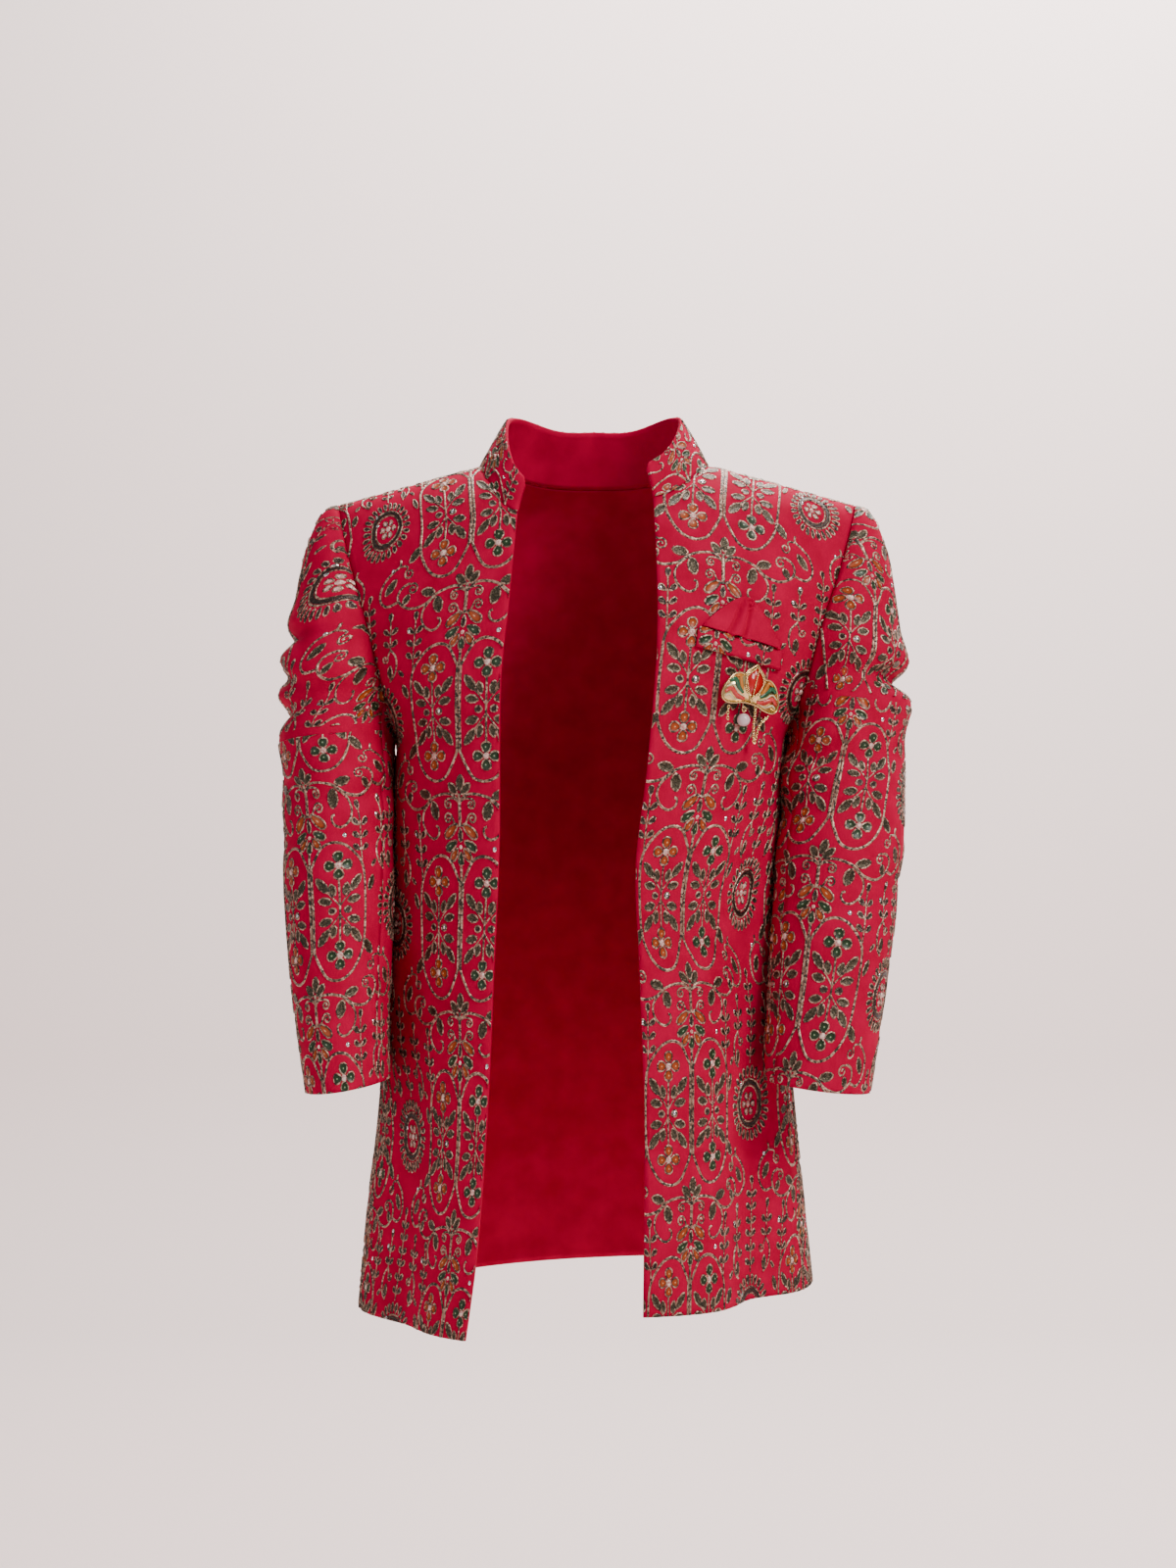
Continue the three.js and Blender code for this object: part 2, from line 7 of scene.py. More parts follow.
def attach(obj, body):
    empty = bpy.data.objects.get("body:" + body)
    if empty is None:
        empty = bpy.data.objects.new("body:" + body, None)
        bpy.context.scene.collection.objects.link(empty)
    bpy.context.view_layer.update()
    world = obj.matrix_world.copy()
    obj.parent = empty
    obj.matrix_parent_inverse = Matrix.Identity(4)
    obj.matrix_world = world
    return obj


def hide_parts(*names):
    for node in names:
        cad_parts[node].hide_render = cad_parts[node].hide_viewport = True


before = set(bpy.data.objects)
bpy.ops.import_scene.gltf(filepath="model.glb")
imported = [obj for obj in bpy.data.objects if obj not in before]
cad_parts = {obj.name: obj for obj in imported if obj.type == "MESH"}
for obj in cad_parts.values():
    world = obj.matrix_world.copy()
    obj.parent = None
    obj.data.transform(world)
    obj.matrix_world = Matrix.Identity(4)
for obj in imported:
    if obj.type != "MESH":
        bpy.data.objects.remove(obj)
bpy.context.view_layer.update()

# ---- The studio ------------------------------------------------------------------------------------
# A pale paper sweep behind and under the coat, a large soft key light high on the wearer's left, a
# weaker fill opposite, and a camera level with the chest, one and a half metres in front.
camera_data = bpy.data.cameras.new("camera")
camera_data.sensor_width = 36
camera_data.lens = 54.4
camera = bpy.data.objects.new("camera", camera_data)
camera.location = (-0.0056, -1.5, -0.2015)
camera.rotation_euler = (np.pi / 2, 0, 0)
bpy.context.collection.objects.link(camera)
bpy.context.scene.camera = camera

floor_z = -1.15
wall_y = 2.3
sweep = bmesh.new()
rim = [sweep.verts.new((-5, -3.5, floor_z)), sweep.verts.new((5, -3.5, floor_z))]
sweep_edge = [sweep.edges.new(rim)]
for y, z in ((wall_y - 0.6, floor_z), (wall_y - 0.2, floor_z + 0.12), (wall_y, floor_z + 0.5), (wall_y, 2.5)):
    grown = bmesh.ops.extrude_edge_only(sweep, edges=sweep_edge)["geom"]
    for vert in (g for g in grown if isinstance(g, bmesh.types.BMVert)):
        vert.co.y = y
        vert.co.z = z
    sweep_edge = [g for g in grown if isinstance(g, bmesh.types.BMEdge)]
sweep_mesh = bpy.data.meshes.new("paper_sweep")
sweep.to_mesh(sweep_mesh)
sweep.free()
sweep_mesh.polygons.foreach_set("use_smooth", [True] * len(sweep_mesh.polygons))
floor = bpy.data.objects.new("paper_sweep", sweep_mesh)
bpy.context.collection.objects.link(floor)
paper = bpy.data.materials.new("pale_paper")
paper.use_nodes = True
shader = paper.node_tree.nodes["Principled BSDF"]
shader.inputs["Base Color"].default_value = (0.86, 0.725, 0.705, 1)
shader.inputs["Roughness"].default_value = 0.9
shader.inputs["Specular IOR Level"].default_value = 0
floor.data.materials.append(paper)


def softbox(name, place, look_at, size, watts, colour):
    light = bpy.data.lights.new(name, "AREA")
    light.shape = "RECTANGLE"
    light.size, light.size_y = size
    light.energy = watts
    light.color = colour
    lamp = bpy.data.objects.new(name, light)
    lamp.location = place
    lamp.rotation_euler = (Vector(look_at) - Vector(place)).to_track_quat("-Z", "Y").to_euler()
    bpy.context.collection.objects.link(lamp)


softbox("key", (1.5, -1.6, 1.5), (0, 0, -0.2), (1.0, 1.2), 68, (1, 0.97, 0.94))
softbox("fill", (-1.7, -1.6, 0.3), (0, 0, -0.25), (1.2, 1.6), 10, (0.97, 0.98, 1))
softbox("backdrop_wash", (0.8, 1.3, 2.1), (0.35, 2.3, -0.1), (3, 0.5), 212, (1, 0.98, 0.96))
world = bpy.data.worlds.new("studio")
world.use_nodes = True
sky = world.node_tree.nodes["Background"]
sky.inputs["Color"].default_value = (0.92, 0.9, 0.9, 1)
sky.inputs["Strength"].default_value = 0.3
bpy.context.scene.world = world

# ---- The crimson cloth and the two fronts ------------------------------------------------------------
# Crimson silk over a soft interlining and a lining of its own colour, cut as two fronts with a long
# dart each. They hang open, from the shoulder seams and the collar, and drape into a fold below.
MM = 0.001
SEAM_GAP = 0.3
CLOTH_THICK = 1.9
ARMPIT_Z = -175
SHOULDER_REACH = 162
SHOULDER_COLUMN = 0.93
NECK_REACH = 67
NECK_COLUMN = 0.52
SHOULDER_SLOPE = 0.27
SHOULDER_ROLL = 2.6
ROUNDNESS = 0.92
HEM_Z = -521
HEM_DIP = 4
HEM_TILT = 8.5
# Body rings: height, half width on the wearer's left and right, half depth in front and behind.
BODY_RINGS = [
    [-535, 138, 151, 104, 103],
    [-470, 131, 145, 101, 99],
    [-400, 124, 137, 97, 95],
    [-330, 118, 134, 93, 89],
    [-260, 115, 131, 90, 85],
    [-200, 117, 128, 92, 89],
    [ARMPIT_Z, 118, 126, 93, 91],
]
LEFT, RIGHT = 1, -1
# Where each front's edge hangs: height, distance from the middle.
FRONT_EDGE = {
    LEFT: [[-530, 27], [-400, 28], [-310, 25], [-250, 23], [-190, 30], [-110, 36], [-20, 34]],
    RIGHT: [[-540, 80], [-480, 72], [-400, 66], [-310, 62], [-240, 59], [-140, 58], [-90, 53], [-30, 48]],
}
NECK_CORNER_Z = {LEFT: -27, RIGHT: -37}
# Drape: side, degrees round from the front, height, depth, spread in degrees, reach up and down.
SKIRT_FOLDS = [
    [LEFT, 50, -560, 17, 14, 250],
    [RIGHT, 58, -560, 13, 16, 230],
    [RIGHT, 118, -540, 6, 13, 150],
    [LEFT, 120, -540, 6, 13, 150],
    [LEFT, 155, -540, 4, 11, 160],
]


def bump(t):
    return np.exp(-t * t)


def mix(a, b, t):
    return a + (b - a) * t


def smoothstep(t, low, high):
    t = np.clip((t - low) / (high - low), 0, 1)
    return t * t * (3 - 2 * t)


def along(table, at, k=1):
    """Column k of a table sorted by its first column, on a smooth curve through its rows."""
    rows = np.array(table, float)
    x, y = rows[:, 0], rows[:, k]
    n = np.arange(len(x))
    before, after = np.maximum(n - 1, 0), np.minimum(n + 1, len(x) - 1)
    slope = (y[after] - y[before]) / (x[after] - x[before])
    t = np.clip(at, x[0], x[-1])
    i = np.clip(np.searchsorted(x, t) - 1, 0, len(x) - 2)
    span = x[i + 1] - x[i]
    s = (t - x[i]) / span
    return (y[i] * (1 + 2 * s) * (1 - s) ** 2 + slope[i] * span * s * (1 - s) ** 2
            + y[i + 1] * s * s * (3 - 2 * s) + slope[i + 1] * span * s * s * (s - 1))


def ring_point(side, turn, z):
    """A point of the body below the armpits. turn is 0 at the middle front and pi at the middle back."""
    inward = np.zeros(np.broadcast(turn, z).shape)
    for where, at, level, depth, spread, reach in SKIRT_FOLDS:
        if where == side:
            inward += depth * bump((np.degrees(turn) - at) / spread) * bump((z - level) / reach)
    sine = np.abs(np.sin(turn)) ** ROUNDNESS
    cosine = np.sign(np.cos(turn)) * np.abs(np.cos(turn)) ** ROUNDNESS
    width = along(BODY_RINGS, z, 1 if side > 0 else 2) - inward
    depth = np.where(cosine > 0, along(BODY_RINGS, z, 3), along(BODY_RINGS, z, 4)) - inward
    return np.stack([side * width * sine, -depth * cosine, z + 0 * inward], -1)


def body_point(side, turn, rise):
    """rise is 0 at the hem, 1 at the armpit and 2 on the shoulder ridge."""
    turn, rise = np.broadcast_arrays(np.asarray(turn, float), np.asarray(rise, float))
    front = np.maximum(np.cos(turn), 0)
    tilt = side * HEM_TILT * np.where(turn < np.pi / 2, 1, np.sin(turn))
    hem = HEM_Z - HEM_DIP * front + tilt
    lower = ring_point(side, turn, mix(hem, ARMPIT_Z, np.minimum(rise, 1)))
    share = np.abs(np.sin(turn)) ** ROUNDNESS
    half_chest = np.abs(lower[..., 0]) / np.maximum(share, 1e-6)
    widening = (SHOULDER_REACH - half_chest * SHOULDER_COLUMN) / SHOULDER_COLUMN ** 3
    top_x = half_chest * share + widening * share ** 3
    past = top_x - NECK_REACH
    ridge_z = -SHOULDER_SLOPE * 0.5 * (past + np.hypot(past, 10))
    roll = np.clip(rise - 1, 0, 1) * np.pi / 2
    climb = np.sin(roll) ** (2 / SHOULDER_ROLL)
    sink = np.maximum(np.cos(roll), 0) ** (2 / SHOULDER_ROLL)
    spread = 1.05 * climb * climb / (climb + 0.05)
    upper = np.stack([
        mix(lower[..., 0], side * top_x, spread * (1.35 - 0.35 * spread)),
        lower[..., 1] * sink,
        mix(ARMPIT_Z, ridge_z, climb),
    ], -1)
    return np.where((rise <= 1)[..., None], lower, upper)


def halved(low, high, too_low):
    """The value between low and high where too_low stops being true."""
    for _ in range(36):
        middle = (low + high) / 2
        below = too_low(middle)
        low, high = np.where(below, middle, low), np.where(below, high, middle)
    return low


def turn_at(side, rise, reach_of):
    def too_low(turn):
        p = body_point(side, turn, rise)
        return np.abs(p[..., 0]) < reach_of(p[..., 2])
    rise = np.asarray(rise, float)
    return halved(np.zeros(rise.shape), np.full(rise.shape, np.pi / 2), too_low)


def rise_at(side, turn, z):
    return halved(np.ones(np.shape(turn)), np.full(np.shape(turn), 2.0),
                  lambda rise: body_point(side, turn, rise)[..., 2] < z)


def column_turn(share):
    return np.arcsin(share ** (1 / ROUNDNESS))


SHOULDER_TURN = column_turn(SHOULDER_COLUMN)
NECK_TURN = column_turn(NECK_COLUMN)
ARMHOLE_STRAIGHT = 1.3


def side_turn(rise):
    """Where a front ends: the side seam up to the armpit, then the armhole."""
    drop = np.clip((ARMHOLE_STRAIGHT - rise) / (ARMHOLE_STRAIGHT - 1), 0, 1)
    return np.where(rise <= 1, np.pi / 2, mix(SHOULDER_TURN, np.pi / 2, 1 - np.sqrt(1 - drop * drop)))


neck_corner = {}
for side in (LEFT, RIGHT):
    corner_turn, corner_rise = 0.3, 1.5
    for _ in range(6):
        corner_rise = float(rise_at(side, corner_turn, NECK_CORNER_Z[side]))
        edge_x = along(FRONT_EDGE[side], NECK_CORNER_Z[side])
        corner_turn = float(turn_at(side, corner_rise, lambda z: edge_x))
    neck_corner[side] = (corner_turn, corner_rise)


def edge_turn(side, rise):
    """Where a front begins: its open edge, then the neckline up to the side of the neck."""
    corner_turn, corner_rise = neck_corner[side]
    t = np.clip((rise - corner_rise) / (2 - corner_rise), 0, 1)
    neckline = mix(corner_turn, NECK_TURN, (1 - (1 - t) ** 2) ** 0.6)
    return np.where(rise <= corner_rise, turn_at(side, rise, lambda z: along(FRONT_EDGE[side], z)), neckline)


def lengths(points):
    """Distance along each row of points, from its first point."""
    gaps = np.linalg.norm(np.diff(points, axis=-2), axis=-1)
    return np.concatenate([np.zeros(gaps.shape[:-1] + (1,)), np.cumsum(gaps, -1)], -1)


def respaced(points, count):
    """The rows of points, each with count points spaced evenly along it."""
    run = lengths(points)
    even = run[:, -1:] * np.linspace(0, 1, count)
    return np.stack([[np.interp(even[i], run[i], points[i, :, k]) for i in range(len(points))]
                     for k in range(3)], -1)


def outward(points):
    """Unit normals of a grid whose columns run anticlockwise, seen from outside, to its rows."""
    across = np.gradient(points, axis=1)
    up = np.gradient(points, axis=0)
    normal = np.cross(across, up)
    return normal / np.maximum(np.linalg.norm(normal, axis=-1, keepdims=True), 1e-9)


def even_rises(side, turn, step):
    """Rises that are step apart along a column of the body, and their distances from the armpit."""
    fine = np.concatenate([np.linspace(0, 1, 300), 1 + np.linspace(0, 1, 900)[1:] ** 2.2])
    run = lengths(body_point(side, turn, fine)[None])[0]
    count = int(run[-1] / step)
    even = np.linspace(0, run[-1], count)
    return np.interp(even, run, fine), even - np.interp(1, fine, run)


CLOTH_STEP = 3.6


def front_chart(side):
    """The front's grid of points, with the flat cloth's own measures: s across from the open edge,
    and t up from the armpit's height."""
    rises, t = even_rises(side, np.radians(45), CLOTH_STEP)
    start = edge_turn(side, rises)
    end = side_turn(rises)
    turns = start[:, None] + (end - start)[:, None] * np.linspace(0, 1, 160)
    fine = body_point(side, turns, rises[:, None] + 0 * turns) + [0, -SEAM_GAP / 2, 0]
    run = lengths(fine)
    middle = np.array([np.interp(np.radians(45), turns[i], run[i]) for i in range(len(rises))])
    corner_row = np.searchsorted(rises, neck_corner[side][1]) - 1
    s_start = np.where(rises > neck_corner[side][1], middle[corner_row] - middle, 0)
    points = respaced(fine, int(run[:, -1].max() / CLOTH_STEP))
    chart = {"points": points, "s0": s_start, "s1": s_start + run[:, -1], "t": t}
    if side < 0:
        chart = {"points": points[:, ::-1], "s0": -chart["s1"], "s1": -chart["s0"], "t": t}
    chart["normals"] = outward(chart["points"])
    return chart


def wall(name, points, thick=CLOTH_THICK):
    """A grid of outer points made into a closed cloth wall, with its flat measures as its UV map."""
    height, width = points.shape[:2]
    bm = bmesh.new()
    bmesh.ops.create_grid(bm, x_segments=width - 1, y_segments=height - 1, size=0.5)
    bm.verts.ensure_lookup_table()
    flat = np.array([v.co.xy for v in bm.verts]) + 0.5
    rows, columns = (np.rint(flat[:, k] * (n - 1)).astype(int) for k, n in ((1, height), (0, width)))
    for vert, co in zip(bm.verts, points[rows, columns] * MM):
        vert.co = co
    uv = bm.loops.layers.uv.new("cloth")
    across, up = lengths(points).max() * MM, lengths(points.swapaxes(0, 1)).max() * MM
    for face in bm.faces:
        face.smooth = True
        for loop in face.loops:
            u, v = flat[loop.vert.index]
            loop[uv].uv = (u * across, v * up)
    mesh = bpy.data.meshes.new(name)
    bm.to_mesh(mesh)
    bm.free()
    cloth = bpy.data.objects.new(name, mesh)
    bpy.context.collection.objects.link(cloth)
    solid = cloth.modifiers.new("thickness", "SOLIDIFY")
    solid.thickness = thick * MM
    solid.offset = -1
    solid.use_even_offset = True
    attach(cloth, "root")
    return cloth


def dressed(piece, *materials):
    for material in materials:
        piece.data.materials.append(material)
    return piece


silk = bpy.data.materials.new("crimson_silk")
silk.use_nodes = True
tree = silk.node_tree
shader = tree.nodes["Principled BSDF"]
shader.inputs["Roughness"].default_value = 0.66
shader.inputs["Specular IOR Level"].default_value = 0.02
where = tree.nodes.new("ShaderNodeTexCoord")
slub = tree.nodes.new("ShaderNodeTexNoise")
slub.inputs["Scale"].default_value = 60
slub.inputs["Detail"].default_value = 5
tree.links.new(where.outputs["Object"], slub.inputs["Vector"])
tone = tree.nodes.new("ShaderNodeValToRGB")
tone.color_ramp.elements[0].position = 0.3
tone.color_ramp.elements[0].color = (0.40, 0.0, 0.032, 1)
tone.color_ramp.elements[1].position = 0.7
tone.color_ramp.elements[1].color = (0.52, 0.0, 0.048, 1)
tree.links.new(slub.outputs["Fac"], tone.inputs["Fac"])
tree.links.new(tone.outputs["Color"], shader.inputs["Base Color"])
weave = tree.nodes.new("ShaderNodeTexWave")
weave.inputs["Scale"].default_value = 420
weave.inputs["Distortion"].default_value = 1.5
weave.inputs["Detail"].default_value = 2
tree.links.new(where.outputs["Object"], weave.inputs["Vector"])
relief = tree.nodes.new("ShaderNodeBump")
relief.inputs["Strength"].default_value = 0.18
relief.inputs["Distance"].default_value = 0.0003
tree.links.new(weave.outputs["Fac"], relief.inputs["Height"])
tree.links.new(relief.outputs["Normal"], shader.inputs["Normal"])

charts = {}


def sewn(name, points, thick=CLOTH_THICK):
    """A panel of the embroidered silk, in place of its solid."""
    panel = dressed(wall(name, points, thick), silk)
    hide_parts(name)


for side, name in ((LEFT, "front_left"), (RIGHT, "front_right")):
    charts[name] = front_chart(side)
    sewn(name, charts[name]["points"])

# ---- The back ------------------------------------------------------------------------------------------
# One piece of the same silk from side seam to side seam, with no middle seam. Its neckline dips, and
# the drape below the waist falls in a few soft folds.
BACK_NECK_SHARE = NECK_TURN / SHOULDER_TURN
BACK_NECK_RISE = 1.76
BACK_BEND = 1.3


def back_top(share):
    across = np.minimum(np.abs(share) / BACK_NECK_SHARE, 1)
    return mix(BACK_NECK_RISE, 2, across ** 3.2)


def back_points(shares, rises):
    """shares run from 1 at the left side to -1 at the right, and rises are one for each point."""
    points = np.zeros(rises.shape + (3,))
    turns = np.pi - np.abs(shares) * side_turn(rises)
    for side in (LEFT, RIGHT):
        points = np.where((shares * side >= 0)[..., None], body_point(side, turns, rises), points)
    return points + [0, SEAM_GAP / 2, 0]


def back_chart():
    """The whole surface behind, up to the shoulder ridge, with s from the middle and t from the armpit."""
    rises, t = even_rises(LEFT, np.radians(135), CLOTH_STEP)
    shares = np.linspace(1, -1, 301)
    fine = back_points(shares[None] + 0 * rises[:, None], rises[:, None] + 0 * shares[None])
    run = lengths(fine)
    points = respaced(fine, int(run[:, -1].max() / CLOTH_STEP))
    return {"points": points, "normals": outward(points), "rises": rises,
            "s0": -run[:, 150], "s1": run[:, -1] - run[:, 150], "t": t}


charts["back"] = back_chart()
back_rises = charts["back"]["rises"]
back_shares = np.linspace(1, -1, 89)
lift = np.clip((back_rises - BACK_BEND) / (2 - BACK_BEND), 0, 1)[:, None]
lifted = np.where(back_rises[:, None] <= BACK_BEND, back_rises[:, None],
                  mix(BACK_BEND, back_top(back_shares)[None], lift))
back_cut = back_points(back_shares[None] + 0 * lifted, lifted)
sewn("back", back_cut)

# ---- The sleeves --------------------------------------------------------------------------------------
# Two pieces each, seamed along the inside of the arm in front and behind. They hang bent a little at
# the elbow, so the cloth breaks into deep folds above it.
SLEEVE_RINGS = {
    LEFT: [
        [-391, 132, -64, 32.5, 33],
        [-345, 138, -51, 35.5, 37],
        [-292, 144, -35, 38.5, 42],
        [-240, 150.5, -20, 40, 45],
        [-197, 152.5, -9, 40.5, 46],
    ],
    RIGHT: [
        [-391, 151, -60, 25, 38],
        [-345, 156, -48, 28.5, 43],
        [-292, 158.5, -34, 33, 47],
        [-240, 160, -20, 35, 50],
        [-197, 161, -9, 35.5, 51],
    ],
}
# Folds: height at the outer side, fall round the sleeve, depth, width, middle in degrees, spread.
SLEEVE_FOLDS = {
    LEFT: [
        [-139, 6, 11, 7, 15, 75],
        [-172, -14, 5, 9, 100, 60],
        [-222, 10, 3.5, 12, 150, 70],
        [-262, -8, 2.5, 12, 60, 60],
    ],
    RIGHT: [
        [-114, 10, 6.5, 5.5, 0, 60],
        [-134, -8, 5.5, 5.5, 30, 70],
        [-161, 12, 8, 7, 40, 80],
        [-196, -16, 5, 9, 100, 60],
        [-238, 8, 3, 12, 90, 70],
    ],
}
FULL_RING_Z = -197
REST_GAP = 0.3
CUFF_Z = -384
CUFF_TILT = 4
FORE_SEAM, HIND_SEAM = 145, 250


def armhole_half(side, front):
    down = np.linspace(2, ARMHOLE_STRAIGHT, 60)
    curl = ARMHOLE_STRAIGHT - (ARMHOLE_STRAIGHT - 1) * np.cos(np.radians(np.linspace(90, 0, 60)[1:]))
    rises = np.concatenate([down, curl])
    turns = side_turn(rises)
    return respaced(body_point(side, turns if front else np.pi - turns, rises)[None], 400)[0]


armholes = {side: (armhole_half(side, True), armhole_half(side, False)) for side in (LEFT, RIGHT)}


def sleeve_ring(side, around, z):
    x, y, width, depth = (along(SLEEVE_RINGS[side], z, k) for k in (1, 2, 3, 4))
    return np.stack([side * (x + width * np.cos(around)), y - depth * np.sin(around), z + 0 * around], -1)


def sleeve_cap(side, around, t):
    fore = around <= np.pi
    half = np.where(fore, around / np.pi, 2 - around / np.pi)
    spot = np.rint(np.clip(half, 0, 1) * 399).astype(int)
    start = np.where(fore[..., None], armholes[side][0][spot], armholes[side][1][spot])
    end = sleeve_ring(side, around, np.full(around.shape, float(FULL_RING_Z)))
    under = ((1 - np.cos(around)) / 2)[..., None]
    leave = np.concatenate([side * (1 - 0.55 * under), -0.4 * np.sin(around)[..., None],
                            0.18 * (1 - under) - 0.95 * under], -1)
    leave /= np.linalg.norm(leave, axis=-1, keepdims=True)
    start = start + [side * SEAM_GAP, 0, 0] + 0.5 * SEAM_GAP * leave
    far = np.linalg.norm(end - start, axis=-1, keepdims=True)
    below = sleeve_ring(side, around, np.full(around.shape, FULL_RING_Z - 20.0)) - end
    below /= np.linalg.norm(below, axis=-1, keepdims=True)
    s = t[..., None]
    r = 1 - s
    return (start * (1 + 2 * s) * r * r + leave * far * mix(0.5, 0.75, under) * s * r * r
            + end * s * s * (3 - 2 * s) - below * far * 0.85 * s * s * r)


def sleeve_point(side, around, down):
    """around is 0 on the outer side and 90 degrees in front. down is 0 at the armhole and 2 at the cuff."""
    around, down = np.broadcast_arrays(np.asarray(around, float), np.asarray(down, float))
    turn = np.mod(around, 2 * np.pi)
    bottom = CUFF_Z - CUFF_TILT * np.cos(turn)
    hang = sleeve_ring(side, turn, mix(FULL_RING_Z, bottom, np.clip(down - 1, 0, 1)))
    point = np.where((down <= 1)[..., None], sleeve_cap(side, turn, np.clip(down, 0, 1)), hang)
    inward = 0
    for level, fall, depth, width, at, spread in SLEEVE_FOLDS[side]:
        away = np.mod(np.degrees(turn) - at + 540, 360) - 180
        off = (point[..., 2] - level - fall * np.sin(turn)) / width
        inward = inward + depth * bump(away / spread) * (
            bump(off) - 0.45 * bump(off / 1.8 - 1.1) - 0.45 * bump(off / 1.8 + 1.1))
    out = np.stack([point[..., 0] - side * along(SLEEVE_RINGS[side], point[..., 2], 1),
                    point[..., 1] - along(SLEEVE_RINGS[side], point[..., 2], 2), 0 * inward], -1)
    out /= np.maximum(np.linalg.norm(out, axis=-1, keepdims=True), 1e-6)
    point = point - out * (inward * np.minimum(down / 0.25, 1))[..., None]
    z = np.minimum(point[..., 2], ARMPIT_Z)
    depth = np.where(point[..., 1] < 0, along(BODY_RINGS, z, 3), along(BODY_RINGS, z, 4))
    cosine = np.minimum(np.abs(point[..., 1]) / depth, 1) ** (1 / ROUNDNESS)
    width = along(BODY_RINGS, z, 1 if side > 0 else 2) * np.sqrt(1 - cosine * cosine) ** ROUNDNESS
    past = width + REST_GAP - np.abs(point[..., 0])
    push = 0.5 * (past + np.hypot(past, 2)) * np.minimum(down / 0.15, 1)
    return point + np.stack([side * push, 0 * push, 0 * push], -1)


def sleeve_piece(side, start, end):
    """The piece's grid, evenly spaced down each of its columns."""
    gap = (SEAM_GAP / 2 + 0.05) / 40
    columns = int((end - start) * 0.75 / CLOTH_STEP)
    turns = np.linspace(np.radians(start) + gap, np.radians(end) - gap, columns)
    downs = np.concatenate([np.linspace(0, 1, 200), np.linspace(1, 2, 120)[1:]])
    fine = sleeve_point(side, turns[:, None] + 0 * downs, downs[None] + 0 * turns[:, None])
    if side > 0:
        fine = fine[::-1]
    return fine


def sleeve_chart(fine, anchor):
    """s runs round the sleeve from its anchor column, and t up each column from the cuff."""
    run = lengths(fine)
    girth = lengths(np.stack([fine[:, int(fine.shape[1] * 0.72)]]))[0]
    t = np.arange(0, run[:, -1].max(), CLOTH_STEP)
    points = np.stack([[np.interp(run[i, -1] - t, run[i], fine[i, :, k]) for i in range(len(fine))]
                       for k in range(3)], -1).swapaxes(0, 1)
    s = girth - girth[anchor]
    even = np.linspace(s[0], s[-1], len(s))
    points = np.stack([[np.interp(even, s, row[:, k]) for row in points] for k in range(3)], -1)
    return {"points": points, "normals": outward(points), "top": np.interp(even, s, run[:, -1]),
            "s0": np.full(len(t), s[0]), "s1": np.full(len(t), s[-1]), "t": t}


for word, side in (("left", LEFT), ("right", RIGHT)):
    for part, start, end, middle in (("top", HIND_SEAM - 360, FORE_SEAM, 90),
                                     ("under", FORE_SEAM, HIND_SEAM, 200)):
        name = f"sleeve_{part}_{word}"
        fine = sleeve_piece(side, start, end)
        share = (middle - start) / (end - start)
        anchor = int((1 - share if side > 0 else share) * (len(fine) - 1))
        charts[name] = sleeve_chart(fine, anchor)
        rows = respaced(fine, int(lengths(fine)[:, -1].max() / CLOTH_STEP))
        sewn(name, rows.swapaxes(0, 1)[::-1])

# ---- The collar -----------------------------------------------------------------------------------------
# A stand collar of the same silk over a stiff band. It stands on the neck edge, leans in towards the
# neck and ends open in front in two rounded corners. Its inner face is plain.
COLLAR_THICK = 2.1
COLLAR_FRONT_HEIGHT = 24
COLLAR_BACK_HEIGHT = 38
NECK_MIDDLE_Y = -8


def neck_line(side, count):
    """The front's cut neck edge, from its corner to the side of the neck."""
    rises = mix(neck_corner[side][1], 2, np.linspace(0, 1, count) ** 1.4)
    return body_point(side, edge_turn(side, rises), rises) + [0, -SEAM_GAP / 2, 0]


back_neck = np.linspace(BACK_NECK_SHARE, -BACK_NECK_SHARE, 60)[1:-1]
neck_edge = np.concatenate([neck_line(LEFT, 40), back_points(back_neck, back_top(back_neck)),
                            neck_line(RIGHT, 40)[::-1]])
neck_edge = respaced(neck_edge[None], 111)[0]
for _ in range(3):
    neck_edge[1:-1] = (neck_edge[:-2] + 2 * neck_edge[1:-1] + neck_edge[2:]) / 4
reach = lengths(neck_edge[None])[0]
from_end = np.minimum(reach, reach[-1] - reach)
stand_rise = smoothstep(from_end, 0, 95)
stand_height = mix(COLLAR_FRONT_HEIGHT, COLLAR_BACK_HEIGHT, stand_rise)
corner_cut = 5 * np.maximum(1 - from_end / 4.5, 0) ** 2
lean = np.radians(mix(24, 31, stand_rise) - 8 * smoothstep(from_end, 120, 190))
neckward = np.stack([-neck_edge[:, 0], NECK_MIDDLE_Y - neck_edge[:, 1]], -1)
neckward /= np.linalg.norm(neckward, axis=-1, keepdims=True)
stand = np.concatenate([neckward * np.sin(lean)[:, None], np.cos(lean)[:, None]], -1)
band_rows = []
for up in np.linspace(0, 1, 13):
    belly = 0.8 * np.sin(np.pi * up)
    tall = (stand_height - corner_cut * up) * up
    row = neck_edge + stand * tall[:, None] + [0, 0, 0.4 * SEAM_GAP]
    band_rows.append(row - np.concatenate([neckward * belly, 0 * neckward[:, :1]], -1))
band = np.array(band_rows)
charts["collar"] = {"points": band, "normals": outward(band), "t": np.linspace(0, COLLAR_BACK_HEIGHT, 13),
                    "s0": np.full(13, -reach[-1] / 2), "s1": np.full(13, reach[-1] / 2)}
sewn("collar", band, COLLAR_THICK)

